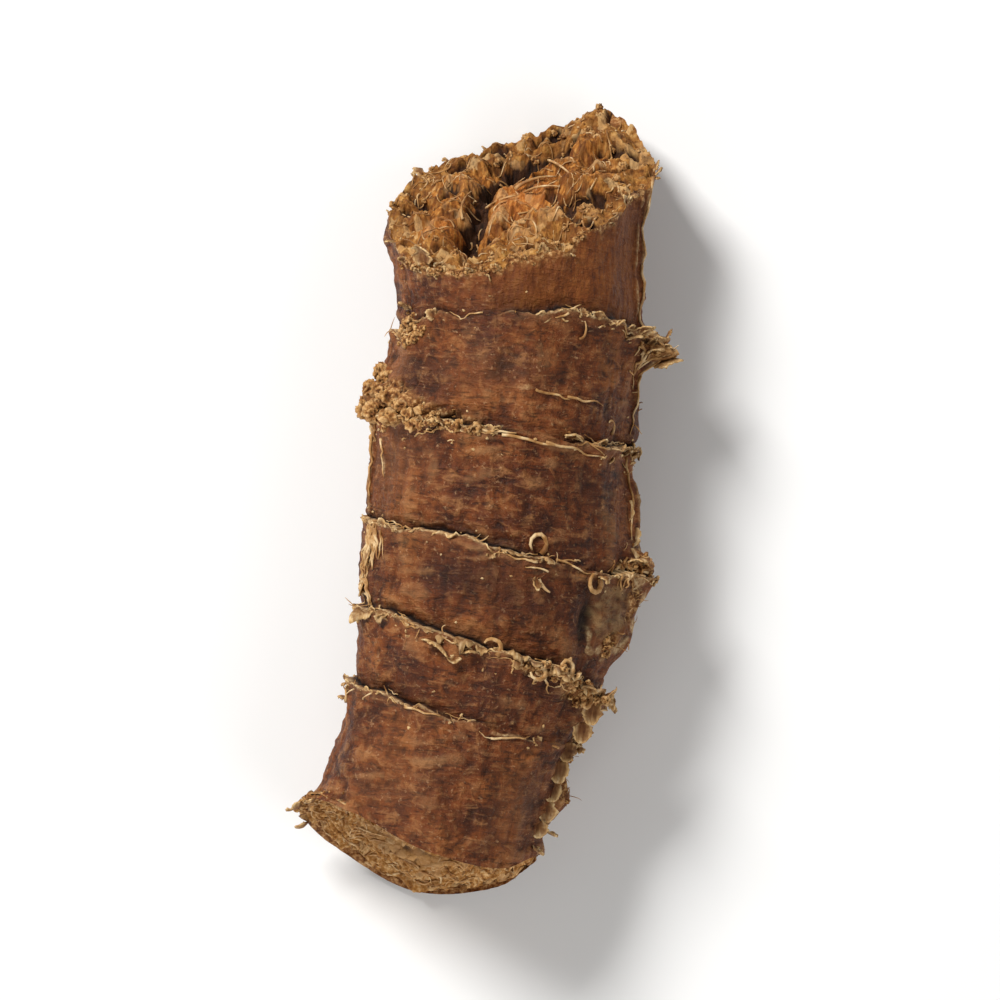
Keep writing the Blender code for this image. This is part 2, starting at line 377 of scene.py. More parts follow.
# The snapped edge ends in splinters about 1 mm wide, some longer than others.
SPLINTERS = cells(ROUND_WAY, 0.11, 69)[1] - 0.5
SPLINTERS = np.convolve(np.r_[SPLINTERS[-2:], SPLINTERS, SPLINTERS[:2]], np.ones(5) / 5, "valid")
RINGS[-1] += 0.30 * FINE_RAGGED[-1] + 0.7 * SPLINTERS
RAGGED = np.clip(0.9 + 1.2 * RAGGED, 0.2, 1.4)
STRENGTHS = np.zeros((len(RINGS), POINTS_ROUND))
STRENGTHS[1:-1] = [scar_strength(scar, ROUND) for scar in SCARS]
# From this far round from the top, in degrees, the scars have worn down in places.
WORN_FROM = 80
WORN_FULLY = 110
WORN = ramp(np.abs(apart(ROUND, TOP)), WORN_FROM, WORN_FULLY)
STRENGTHS *= 1 - WORN * (1 - np.clip(0.6 + 1.3 * UNWORN, 0.05, 1))
LIPS = STRENGTHS * np.array([[0], *([scar[3]] for scar in SCARS), [0]])
LIPS[-1] = SNAP_LIP


def at_ring(table, ring, angles):
    """A ring's value at any angles, from a table of every ring's values round the tube."""
    around = np.asarray(angles) / 360 * POINTS_ROUND
    low = np.floor(around).astype(int)
    share = around - low
    return table[ring, low % POINTS_ROUND] * (1 - share) + table[ring, (low + 1) % POINTS_ROUND] * share


def on_spine(along):
    """The spine's middle and the skin's half width and half height at each place along Y."""
    places, across, widths, heights = zip(*SPINE)
    level = np.full(len(along), HALF_HEIGHT - FLAT_DEPTH)
    middle = np.stack([smooth_curve(places, across, along), along, level], axis=1)
    half_width = HALF_WIDTH * smooth_curve(places, widths, along)
    half_height = HALF_HEIGHT * smooth_curve(places, heights, along)
    return middle, half_width, half_height


def from_spot(along, angles, place, angle, lengthening=1.0):
    """How far each point of the skin is from a spot on it, in millimetres."""
    return np.hypot((along - place) / lengthening, np.radians(apart(angles, angle)) * HALF_WIDTH)


def in_patch(along, angles, place, angle, half_length, half_spread):
    """1 in the middle of a patch of the skin, fading to 0 outside it."""
    return bell(np.hypot((along - place) / half_length, apart(angles, angle) / half_spread), 1.0)


def pit(distance, radius, height):
    """A scar's relief at these distances from its middle: a raised rim and a sunken middle."""
    return height * (bell(distance - radius, 0.5 * radius) - 0.8 * bell(distance, 0.6 * radius))


def bare_band(along, angles):
    """1 on the band below the snapped end that has lost its outer skin, and 0 off it."""
    above_scar = np.clip((along - at_ring(RINGS, len(SCARS), angles)) / 0.4, 0, 1)
    return above_scar * np.clip(2 * bell(apart(angles, BARE_ANGLE), BARE_HALF_SPREAD), 0, 1)


def plain_relief(along, angles, bare):
    """The relief that the solid has too: swellings, knobs, pits, the seam and the slice's flared lip."""
    relief = np.zeros(len(along))
    for seed, (height, size, squeeze) in enumerate(SWELLINGS, start=1):
        relief += height * lumps(bare * (1, squeeze, 1), size, seed)
    for place, angle, radius, height in LEFT_KNOBS + RIGHT_KNOBS:
        relief += height * bell(from_spot(along, angles, place, angle), radius)
    for place, angle, radius, height in ROOT_SCARS:
        relief += pit(from_spot(along, angles, place, angle), radius, height)
    for place, angle, radius, height in (SIDE_STUB, SIDE_GROOVE):
        relief += height * bell(from_spot(along, angles, place, angle, SIDE_STUB_LENGTHENING), radius)
    fray = np.clip(0.4 + 1.2 * lumps(bare * (0, 1, 0), 2.6, 4), 0, 1)
    relief += SEAM_HEIGHT * fray * bell(apart(angles, SEAM_ANGLE), SEAM_HALF_SPREAD)
    relief -= BARE_DEPTH * bare_band(along, angles)
    flare = bell(apart(angles, SLICE_LIP_ANGLE), SLICE_LIP_SPREAD)
    past_edge = np.maximum(along - edge_round(SLICED_EDGE, angles), 0)
    return relief + SLICE_LIP * flare * np.exp(-past_edge / SLICE_LIP_REACH)


def wrinkled(bare, smoother):
    """Furrows, threads, crosswise wrinkles and dents: some patches have more of one kind than of the other,
    and all are weaker where the skin is smoother."""
    wavered = bare + 0.7 * lumps(bare * (1, 0.6, 1), 2.6, 76)[:, None]
    furrowed = ramp(lumps(bare, 6.0, 75), -0.35, 0.35)
    width, length, height = FURROW
    relief = height * (0.3 + 0.7 * furrowed) * (creases(wavered * (1, width / length, 1), width, 71) - 0.45)
    width, length, height = THREAD
    relief += height * (creases(wavered * (1, width / length, 1), width, 72) - 0.4)
    width, length, height = WRINKLE
    across = wavered * (width / length, 1, width / length)
    relief += height * (1.1 - 0.7 * furrowed) * (creases(across, width, 73) - 0.4)
    width, length, height = DENT
    relief -= height * ramp(lumps(bare * (1, width / length, 1), width, 74), 0.25, 0.60)
    relief += 0.05 * lumps(bare, 0.5, 77)
    return relief * (1 - 0.7 * smoother)


def crumbled(bare, crumbly):
    """Popcorn-like lumps of loose cork, where the skin is crumbly."""
    relief = np.zeros(len(bare))
    some = crumbly > 0.02
    if not some.any():
        return relief
    from_wall, token = cells(bare[some], 1.5, 81)
    fine_wall, _ = cells(bare[some], 0.6, 82)
    grain = ramp(from_wall, 0, 0.5) * (0.5 + 0.5 * token) + 0.18 * ramp(fine_wall, 0, 0.25)
    relief[some] = 0.8 * crumbly[some] * (grain - 0.45)
    return relief


def seamed(along, angles):
    """The pale seams down both sides, as a share of their height."""
    seam = np.zeros(len(along))
    for i, (angle, start, stop) in enumerate(SIDE_SEAMS):
        wander = 1.5 * np.sin(along / 3.1 + 2 * i) + 0.6 * np.sin(along / 0.9 + i)
        spots = np.stack([along, 0.06 * angles, 9.0 * i + 0 * along], axis=1)
        torn = ramp(lumps(spots, 1.3, 95), -0.30, 0.15)
        ridge = bell(apart(angles, angle + wander), SIDE_SEAM_HALF_WIDTH) * (0.25 + 0.75 * torn)
        seam = np.maximum(seam, ridge * ramp(along, start, start + 2) * (1 - ramp(along, stop - 1, stop)))
    return seam


def skin_at(along, angles):
    """Points of the dried skin, and what the bark's finish has to know of each."""
    every = np.arange(len(along))
    rings = np.array([at_ring(RINGS, ring, angles) for ring in range(len(RINGS))])
    gap = (along > rings[1:-1]).sum(axis=0)
    above = np.maximum(along - rings[gap, every], 0)
    below = np.maximum(rings[gap + 1, every] - along, 0)
    rise = at_ring(LIPS, gap + 1, angles) * at_ring(RAGGED, gap, angles) * np.exp(-below / LIP_REACH)
    groove = at_ring(STRENGTHS, gap, angles)
    middle, half_width, half_height = on_spine(along)
    way = outward(angles)
    bare = middle + way * np.stack([half_width, 0 * along, half_height], axis=1)
    band = bare_band(along, angles)
    crumbly = np.zeros(len(along))
    for spot in CRUMBLY_SPOTS:
        crumbly += in_patch(along, angles, *spot)
    crumbly = ramp(crumbly + 0.35 * lumps(bare, 1.3, 83), 0.30, 0.75) * (crumbly > 0.03)
    fine = wrinkled(bare, np.maximum(band, crumbly))
    seam = seamed(along, angles)
    faint = np.zeros(len(along))
    wander = 0.30 * lumps(way, 0.12, 91) + 0.12 * lumps(way, 0.035, 92)
    for place, angle, half_spread, height in FAINT_RINGS:
        strength = bell(apart(angles, angle), half_spread) * height / FAINT_RING_HEIGHT
        faint = np.maximum(faint, strength * bell(along - place - wander, FAINT_RING_WIDTH))
    fine += crumbled(bare, crumbly)
    relief = plain_relief(along, angles, bare) + rise - SCAR_GROOVE * groove * np.exp(-above / GROOVE_REACH)
    relief += fine + SIDE_SEAM_HEIGHT * seam + FAINT_RING_HEIGHT * faint
    points = bare + way * relief[:, None]
    frayed = np.clip(0.7 + 1.1 * at_ring(FINE_RAGGED, gap + 1, angles), 0.1, 1.5)
    lip = at_ring(STRENGTHS, gap + 1, angles)
    tone = np.zeros(len(along))
    for place, angle, half_length, half_spread, amount in TONES_AND_PAINTED_LIGHT:
        tone += amount * in_patch(along, angles, place, angle, half_length, half_spread)
    place, angle, half_length, half_spread = STUB_FACE
    right = apart(angles, angle)
    on_stub = np.hypot((along - place) / half_length, right / half_spread) + 0.25 * lumps(bare, 1.2, 94)
    scars = np.min([from_spot(along, angles, *scar[:2]) / scar[2] for scar in ROOT_SCARS], axis=0)
    masks = {
        # Painted shade: a dark band down the groove above each leaf scar.
        "scar_groove": groove * np.exp(-above / 0.5),
        "scale_edge": np.clip(lip * bell(below, 0.05 + 0.24 * frayed) + 0.8 * faint + 0.7 * seam, 0, 1),
        "snapped_edge": (gap == len(SCARS)) * bell(below, 0.9 * frayed),
        "sliced_edge": (gap == 0)
        * bell(above, 0.55 + 0.75 * at_ring(RAGGED, 0, angles))
        * ramp(np.abs(apart(angles, TOP)), 60, 100),
        "under_lip": lip * np.exp(-below / 0.9),
        # The fine relief: the bark's finish darkens its low places as painted shade and makes its raised
        # places lighter tan.
        "height": fine / 0.15,
        "bare_band": band,
        "crumbly": crumbly,
        "rimmed": bell(on_stub - 1, 0.16)
        * np.maximum(ramp(right, 4, -6), ramp(along - place, 0.5, -1.5))
        * ramp(lumps(bare, 0.8, 93), -0.35, 0.10),
        "stub_face": 1 - ramp(on_stub, 0.6, 1.0),
        # Painted shade in the sunken middles of the root scars and in the groove beside the stub.
        "pit": np.clip(bell(scars, 0.45) + bell(from_spot(along, angles, *SIDE_GROOVE[:2], 3.2), 0.8), 0, 1),
        # Tone patches, one of them painted light low on the right side.
        "tone": tone,
    }
    return points, masks


def rooted(along, angle):
    """A point of the skin between its ends' edges, and the way out of the skin there."""
    angles = np.array([float(angle)])
    low, high = float(at_ring(RINGS, 0, angle)), float(at_ring(RINGS, -1, angle))
    points, _ = skin_at(np.array([min(max(along, low + 0.1), high - 0.1)]), angles)
    return points[0], outward(angles)[0]


def settled(points):
    """Points set down on the flat and moved sideways to where the solid lies."""
    points = points + SETTLE
    points[:, 2] = np.maximum(points[:, 2], 0)
    return points


def grid_faces(rows, columns, closed):
    """The four-sided faces of a grid of points, joined up round if it is closed."""
    wide = columns if closed else columns - 1
    row, column = np.meshgrid(np.arange(rows - 1), np.arange(wide), indexing="ij")
    beside = (column + 1) % columns
    corners = [row * columns + column, row * columns + beside]
    corners += [(row + 1) * columns + beside, (row + 1) * columns + column]
    return np.stack(corners, axis=-1).reshape(-1, 4)


def capped(rings):
    """A closed solid from rings of points, an even number in each: its points and its faces."""
    count, around = rings.shape[:2]
    half = around // 2
    cap = np.array([(i, i + 1, around - 2 - i, around - 1 - i) for i in range(half - 1)])
    faces = [cap[:, ::-1], grid_faces(count, around, closed=True), cap + (count - 1) * around]
    return rings.reshape(-1, 3), np.concatenate(faces)


def two_sided(sheet, thickness):
    """A thin closed solid round a sheet of points, in rows and columns."""
    across = np.gradient(sheet, axis=1)
    normal = np.cross(np.gradient(sheet, axis=0), across)
    normal /= np.linalg.norm(normal, axis=2, keepdims=True) + 1e-9
    front = sheet + normal * thickness / 2
    back = sheet - normal * thickness / 2
    return capped(np.concatenate([front, back[::-1]]).transpose(1, 0, 2))


# Points round a thread.
THREAD_SIDES = 6


def thread(path, thickness, tips):
    """A tapering thread along a path of points, with how far each point is from its brown root."""
    ahead = np.gradient(path, axis=0)
    ahead /= np.linalg.norm(ahead, axis=1, keepdims=True) + 1e-9
    aside = np.cross(ahead, (0.31, 0.17, 0.93))
    aside /= np.linalg.norm(aside, axis=1, keepdims=True) + 1e-9
    up = np.cross(ahead, aside)
    turn = np.arange(THREAD_SIDES) / THREAD_SIDES * math.tau
    radius = thickness / 2 * np.linspace(1, 0.05, len(path)) ** 0.35
    ring = np.cos(turn)[None, :, None] * aside[:, None] + np.sin(turn)[None, :, None] * up[:, None]
    points, faces = capped(path[:, None] + radius[:, None, None] * ring)
    return points, faces, np.repeat(np.broadcast_to(tips, len(path)), THREAD_SIDES)


# The largest share of a small solid that may reach under the flat.
MOST_SQUASHED = 0.2


def gathered(solids):
    """Several solids, each of points, faces and a value for each point, as one. Any that would lie squashed
    under the flat is left out."""
    points, faces, values = [], [], []
    base = 0
    for some_points, some_faces, some_values in solids:
        if np.mean(some_points[:, 2] < 0) > MOST_SQUASHED:
            continue
        points.append(some_points)
        faces += (np.asarray(some_faces) + base).tolist()
        values.append(np.broadcast_to(some_values, len(some_points)))
        base += len(some_points)
    return np.concatenate(points), faces, np.concatenate(values)


def piece(name, points, faces, material, masks, chart=None):
    """A piece from points in millimetres, with its masks and its flat chart for baking."""
    mesh = bpy.data.meshes.new(name)
    mesh.from_pydata((settled(points) * MM).tolist(), [], faces)
    for mask, values in masks.items():
        mesh.attributes.new(mask, "FLOAT", "POINT").data.foreach_set("value", np.asarray(values, np.float32))
    if chart is not None:
        layer = mesh.uv_layers.new(name="OFBake")
        layer.data.foreach_set("uv", np.asarray(chart, np.float32).ravel())
    mesh.shade_smooth()
    mesh.materials.append(material)
    made = bpy.data.objects.new(name, mesh)
    bpy.context.scene.collection.objects.link(made)
    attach(made, "root")
    return made


def skin_rows():
    """The place along Y of every row of the skin at every angle, closest together at the rings."""
    rows = []
    for low, high in zip(RINGS, RINGS[1:]):
        t = np.linspace(0, 1, round(ROWS_PER_MM * float(np.mean(high - low))))
        share = t - 0.75 * np.sin(2 * math.pi * t) / (2 * math.pi)
        rows += [low + s * (high - low) for s in 0.004 + 0.992 * share]
    return np.array(rows)


def skin(material):
    """The bark from the sliced edge to the snapped one; gives back the rims of both ends."""
    along = skin_rows()
    points, masks = skin_at(along.ravel(), np.tile(ROUND, len(along)))
    faces = grid_faces(*along.shape, closed=True)[:, ::-1]
    row, column = np.divmod(faces, POINTS_ROUND)
    last = (column == 0) & (column.max(axis=1, keepdims=True) == POINTS_ROUND - 1)
    column = np.where(last, POINTS_ROUND, column)
    chart = np.stack([column / POINTS_ROUND, row / (len(along) - 1)], axis=-1) * 0.99 + 0.005
    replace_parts(piece("bark", points, faces.tolist(), material, masks, chart), "rhizome")
    grid = points.reshape(*along.shape, 3)
    return grid[0], grid[-1]


def end_face(name, rim, row_count, form, material):
    """An end's face from its rim in to its middle, with its relief and masks."""
    middle = rim.mean(axis=0)
    spokes = rim - middle
    looks = np.cross(spokes, np.roll(spokes, -1, axis=0)).sum(axis=0)
    looks = looks * math.copysign(1 / np.linalg.norm(looks), looks[1] * middle[1])
    share = np.repeat(np.linspace(0, 1, row_count, endpoint=False), POINTS_ROUND)
    angles = np.tile(ROUND, row_count)
    flat = np.tile(rim, (row_count, 1)) * (1 - share)[:, None] + middle * share[:, None]
    shift, masks = form(share, angles, flat, looks)
    points = flat + shift
    points = np.concatenate([points, points[-POINTS_ROUND:].mean(axis=0, keepdims=True)])
    masks = {mask: np.append(values, values[-POINTS_ROUND:].mean()) for mask, values in masks.items()}
    inner = len(points) - 1 - POINTS_ROUND + np.arange(POINTS_ROUND)
    fan = np.stack([inner, np.roll(inner, -1), np.full(POINTS_ROUND, len(points) - 1)], axis=1)
    quads = grid_faces(row_count, POINTS_ROUND, closed=True)
    if middle[1] > 0:
        quads, fan = quads[:, ::-1], fan[:, ::-1]
    turn = np.radians(angles)
    chart = 0.5 + 0.49 * (1 - share)[:, None] * np.stack([np.cos(turn), np.sin(turn)], axis=1)
    chart = np.concatenate([chart, [(0.5, 0.5)]])
    corners = chart[np.concatenate([quads.ravel(), fan.ravel()])]
    piece(name, points, quads.tolist() + fan.tolist(), material, masks, corners)
    return points[:-1].reshape(row_count, POINTS_ROUND, 3), looks


def on_face(angle, outward_share):
    """Places on an end's face, seen square on, as complex numbers in millimetres from its middle."""
    return HALF_WIDTH * outward_share * np.exp(1j * np.radians(angle))


def crack_depth(spots):
    """How deep the crack is at these places on the snapped face."""
    depth = np.zeros(len(spots))
    corners = [(on_face(angle, share), np.array(size)) for angle, share, *size in CRACK]
    for (start, start_size), (stop, stop_size) in zip(corners, corners[1:]):
        run = stop - start
        share = np.clip(((spots - start) * run.conjugate()).real / abs(run) ** 2, 0, 1)
        away = np.abs(spots - start - share * run)
        deep, half_width = start_size[:, None] + share * (stop_size - start_size)[:, None]
        depth = np.maximum(depth, deep * np.minimum(1.5 * bell(away, half_width), 1))
    return depth


def snapped_form(share, angles, flat, looks):
    """The snapped face: folds, pits and a deep crack, woody strands that broke off in blunt bundles in the
    core and at its left, and meal in the rind. The strands' ends step along Y."""
    spots = on_face(angles, 1 - share)
    ragged = FACE_LUMPS * (lumps(flat, 2.6, 51) + 0.5 * lumps(flat, 1.3, 52))
    for angle, knob_share, radius, height in FACE_KNOBS:
        ragged += height * bell(np.abs(spots - on_face(angle, 1 - knob_share)), radius)
    wobble = 0.5 * (lumps(flat, 1.1, 57) + 1j * lumps(flat, 1.1, 58))
    crack = crack_depth(spots + wobble)
    stringy = bell(np.abs(spots + 2 * wobble - on_face(*STRINGY_SPOT)), STRINGY_REACH)
    rind = (1 - ramp(share + 0.10 * lumps(flat, 1.6, 53), 0.18, 0.34)) * (1 - 0.85 * stringy)
    smooth = bell(np.abs(spots - on_face(*SMOOTH_SPOT)), SMOOTH_REACH)
    level = flat * (1, 0.10, 1)
    bundle_wall, bundle = cells(level, BUNDLE, 54)
    string_wall, string = cells(level, STRING, 55)
    grain_wall, grain = cells(flat * (1, 0.7, 1), MEAL_GRAIN, 56)
    steps = 0.9 * (bundle - 0.5) * ramp(bundle_wall, 0, 0.6)
    steps += 0.34 * (string - 0.5) * ramp(string_wall, 0, 0.2)
    steps *= (1 - 0.8 * smooth) * (1 - 0.7 * rind)
    mealy = (0.30 + 0.70 * rind) * (1 - 0.8 * smooth) * (1 - 0.6 * stringy)
    pits = ramp(lumps(flat * (1, 0.5, 1), 1.25, 63) + 0.25 * lumps(flat, 0.5, 64), 0.20, 0.50)
    pits *= 1 - 0.85 * smooth
    patchy = 0.4 + 0.9 * ramp(lumps(flat, 1.7, 65), -0.3, 0.3)
    meal = 0.26 * (grain - 0.35) * ramp(grain_wall, 0, 0.3) + 0.24 * (creases(flat, 0.45, 59) - 0.4)
    rough = mealy * patchy * meal + 0.28 * (creases(flat, 1.7, 61) - 0.5) + 0.10 * lumps(flat, 0.3, 62)
    rough -= PIT_DEPTH * pits
    lift = CORE_RISE * bell(np.abs(spots), CORE_HALF_WIDTH) - 1.1 * crack
    lift = lift + np.clip(share / 0.15, 0, 1) * ragged
    fade = np.clip(share / RIM_FADE, 0, 1)
    gaps = 1 - ramp(np.minimum(bundle_wall / 0.3, string_wall / 0.15), 0.1, 0.9)
    gaps = np.maximum(0.45 * gaps * (1 - rind), 0.4 * (1 - ramp(grain_wall, 0.0, 0.15)) * mealy)
    masks = {
        "core": np.maximum((1 - rind) * (0.35 + 0.65 * smooth), 0.8 * stringy),
        "rind": rind,
        "tint": np.where(rind > 0.5, grain, 0.55 * bundle + 0.45 * string),
        # Painted shade in the crack, in the gaps between strands and grains, and in the pits.
        "deep": np.clip(ramp(crack, 0.6, 1.7) + gaps * (1 - smooth) + 0.85 * pits, 0, 1),
    }
    return (lift + fade * rough)[:, None] * looks + (fade * steps)[:, None] * (0, 1, 0), masks


def sliced_form(share, angles, flat, looks):
    """The sliced face: a dish with a step at its core. Strings that the knife dragged over lie round the rim,
    and the flesh has shrunk between the cut ends of those in the core."""
    dish = -DISH_DEPTH * np.sin(0.5 * math.pi * share)
    step = CORE_STEP * np.tanh((share - CORE_SHARE) / 0.05)
    from_rim = share * HALF_WIDTH
    around = outward(angles) * (HALF_WIDTH / DRAGGED_LENGTH)
    around = around + np.array((0, 1, 0)) * (from_rim / DRAGGED_WIDTH)[:, None]
    dragged = creases(around + 0.5 * lumps(flat, 1.2, 44)[:, None], 1.0, 45) - 0.45
    outer = 1 - ramp(share + 0.08 * lumps(flat, 2.0, 47), 0.42, 0.62)
    from_wall, token = cells(flat, CUT_END, 46)
    cut_ends = 0.35 * (token - 0.5) * ramp(from_wall, 0, 0.2) - 0.12 * (1 - ramp(from_wall, 0, 0.12))
    fine = 0.56 * outer * dragged + (0.35 + 0.65 * (1 - outer)) * cut_ends + 0.05 * lumps(flat, 0.3, 43)
    fine += 0.22 * (creases(flat, 1.6, 42) - 0.5)
    lift = dish + step + 0.2 * lumps(flat, 1.8, 41) + np.clip(share / RIM_FADE, 0, 1) * fine
    # deep: painted shade where the fine relief sinks.
    masks = {"deep": ramp(-fine, 0.08, 0.30), "tint": token, "outer": outer}
    return lift[:, None] * looks, masks


# How high the crinkled paper stands on each leaf scar, from the sliced end up.
FRILL_HEIGHTS = (0.42, 1.30, 0.50, 0.60, 0.50)
# How far the paper has rolled over along each leaf scar, in radians.
FRILL_ROLLS = (0.6, 3.2, 0.8, 0.6, 0.4)
PAPER_THICKNESS = 0.10
# How deep the paper is rooted in the skin.
ROOT_DEPTH = 0.14
# Lower, broken frills that run beside the tall ones: ring, how far below it along Y, height.
SECOND_FRILLS = ((2, 0.75, 0.40), (4, 0.80, 0.42), (4, 1.45, 0.30), (5, 0.60, 0.30))


def frill(ring, drop, start, stop, tallest, roll, seed):
    """One torn run of crinkled paper that stands up at a leaf scar, or a drop below it, and curls over."""
    angles = np.linspace(start, stop, max(7, round((stop - start) / 0.75)))
    way = outward(angles)
    crinkle = (0.12 + 0.38 * tallest) * (lumps(way, 0.060, seed) + 0.5 * lumps(way, 0.022, seed + 1))
    taper = np.clip(np.minimum(angles - start, stop - angles) / 3, 0, 1)
    ragged = 0.55 + 1.1 * lumps(way, 0.09, seed + 2) + 0.8 * lumps(way, 0.03, seed + 3)
    tall = tallest * np.clip(ragged, 0.10, 1.35) * (0.2 + 0.8 * taper)
    lean = 1.15 + 1.1 * lumps(way, 0.14, seed + 4)
    curl = roll + 3.0 * lumps(way, 0.10, seed + 5)
    wander = drop * (1 + 0.8 * lumps(way, 0.25, seed + 6))
    foot, _ = skin_at(at_ring(RINGS, ring, angles) - ROOT_DEPTH - wander + 0.3 * crinkle, angles)
    spot = foot - way * ROOT_DEPTH
    rows = [spot]
    steps = 6
    for i in range(steps):
        heading = lean + curl * i / steps
        ahead = np.cos(heading)[:, None] * (0, 1, 0) + np.sin(heading)[:, None] * way
        spot = spot + ahead * ((tall + ROOT_DEPTH * (i == 0)) / steps)[:, None]
        spot = spot + (crinkle / steps)[:, None] * (0, 1, 0)
        rows.append(spot)
    points, faces = two_sided(np.array(rows), PAPER_THICKNESS)
    heights = np.linspace(0, 1, steps + 1)
    return points, faces, np.tile(np.concatenate([heights, heights[::-1]]), len(angles))


def frills():
    """Runs of paper round every leaf scar, with gaps that widen where the scar fades."""
    draw = random.Random(17)
    runs = []
    first = [(ring, 0.0, tallest) for ring, tallest in enumerate(FRILL_HEIGHTS, start=1)]
    for ring, drop, tallest in (*first, *SECOND_FRILLS):
        roll = 0.0 if drop else FRILL_ROLLS[ring - 1]
        angle = draw.uniform(0, 8)
        while angle < 360:
            length = draw.uniform(3, 18)
            strength = float(at_ring(STRENGTHS, ring, angle + length / 2))
            worn_off = abs(float(apart(angle, TOP))) > WORN_FROM and draw.random() < 0.35
            if strength > 0.45 and not worn_off:
                height = tallest * strength**1.5 * draw.uniform(0.40, 1.15)
                runs.append(frill(ring, drop, angle, angle + length, height, roll, 200 + 7 * len(runs)))
            angle += length + draw.uniform(-1, 5) * (1.5 - strength) + (6 * draw.random() if drop else 0)
    return runs


# Scraps of loose skin that show best: place along Y, angle, heading (0 is towards the snapped end and 90 is
# up round the tube), length, width, lift off the skin, and how far the scrap curls over its length.
SCRAPS = (
    (16.9, 136, -6, 1.9, 1.6, 18, 40),
    (11.3, 4, -12, 2.5, 1.9, 52, 46),
    (12.0, 12, 10, 1.6, 1.1, 40, 60),
    (13.1, 20, 6, 1.7, 0.9, 38, 30),
    (12.9, 28, -14, 1.5, 0.8, 46, 60),
    (13.6, 24, 30, 1.4, 0.7, 50, 40),
    (-10.6, 111, 24, 1.4, 2.0, 30, 90),
    (-10.9, 101, 196, 1.0, 0.9, 20, 60),
    (-10.7, 96, -10, 0.9, 1.2, 40, 90),
    (-11.0, 75, 8, 1.3, 0.8, 50, 150),
    (-11.7, 52, 0, 1.3, 0.9, 45, 140),
    (-12.6, 34, 20, 1.4, 1.2, 50, 80),
    (-13.6, 20, -20, 1.6, 1.2, 40, 80),
    (-3.5, 69, 16, 1.2, 1.0, 40, 130),
    (-4.7, 72, 186, 1.4, 0.6, 22, 40),
    (-4.4, 40, -10, 1.2, 1.0, 50, 130),
    (-3.2, 18, 8, 1.7, 1.3, 46, 70),
    (5.2, 146, 10, 1.5, 1.5, 30, 70),
    (5.0, 40, -8, 1.2, 1.4, 30, 60),
    (5.3, 58, 10, 1.0, 1.3, 26, 80),
    (13.6, 158, 0, 1.3, 1.2, 34, 70),
    (-15.2, 176, 6, 1.0, 1.3, 30, 80),
    (-2.9, 160, 176, 2.3, 0.9, 6, 4),
    (-5.6, 167, 180, 1.9, 0.8, 6, 10),
    (-24.0, 186, 170, 1.5, 1.2, 34, 50),
    (-24.3, 204, 190, 1.3, 1.3, 30, 60),
    (-23.6, 168, 176, 1.0, 1.0, 30, 60),
    (-22.8, 12, 180, 1.4, 1.0, 24, 70),
    (-24.2, 20, 182, 1.2, 1.0, 24, 60),
)
# Oval scales that lie like tiles in a chain down the right edge and face up: place along Y, angle, length and
# width. They are turned up from the skin by this much.
SIDE_SCALES = (
    (0.6, 16, 1.9, 1.5),
    (-1.2, 12, 1.6, 1.4),
    (-2.7, 17, 1.5, 1.5),
    (-14.3, 26, 1.7, 1.6),
    (-15.7, 23, 1.7, 1.6),
    (-17.2, 22, 1.6, 1.5),
    (-18.7, 22, 1.8, 1.6),
    (-20.2, 21, 1.6, 1.5),
    (-21.7, 22, 1.7, 1.6),
    (-23.0, 24, 1.4, 1.4),
)
SCALE_TURN = 46
LOOSE_SCRAPS = 150
SCRAP_THICKNESS = 0.09


def headed(out, heading):
    """The direction over the skin at this heading, where the way out of it is known."""
    turn = math.radians(heading)
    return math.cos(turn) * np.array((0, 1, 0)) - math.sin(turn) * np.cross(out, (0, 1, 0))


def scrap(along, angle, heading, length, width, lift, curl, seed, turned=0, ragged=0.8):
    """A ragged scrap of skin rooted at a spot, which lifts off along its heading and curls."""
    foot, _ = rooted(along, angle)
    out = outward(np.array([float(angle + turned)]))[0]
    forward = headed(out, heading)
    aside = np.cross(forward, out)
    u = np.linspace(0, 1, 12)
    v = np.linspace(-1, 1, 9)
    tilt = np.radians(lift + curl * u)
    steps = np.cos(tilt)[:, None] * forward + np.sin(tilt)[:, None] * out
    path = foot - 0.12 * out + np.cumsum(steps, axis=0) * length / len(u)
    up = np.cos(tilt)[:, None] * out - np.sin(tilt)[:, None] * forward
    ways = np.stack([u * 2.2 + seed, np.full(len(u), seed * 0.37), np.zeros(len(u))], axis=1)
    profile = np.sin(math.pi * (0.16 + 0.80 * u)) ** 0.7
    left, right = (
        profile * (1 + ragged * (lumps(ways + side, 0.7, 5) + lumps(ways + side, 0.27, 6))) for side in (0, 9)
    )
    half = width / 2 * np.where(v < 0, left[:, None], right[:, None])
    buckle = np.array([[noise.noise((2.3 * a, 1.9 * b, seed)) for b in v] for a in u])
    cup = 0.35 * half * v**2 + 0.10 * buckle
    sheet = path[:, None] + (half * v)[..., None] * aside + cup[..., None] * up[:, None]
    points, faces = two_sided(sheet, SCRAP_THICKNESS)
    edge = np.maximum(np.abs(v)[None, :] ** 2, u[:, None] ** 3) * np.ones((len(u), len(v)))
    return points, faces, np.concatenate([edge, edge[::-1]]).T.ravel()


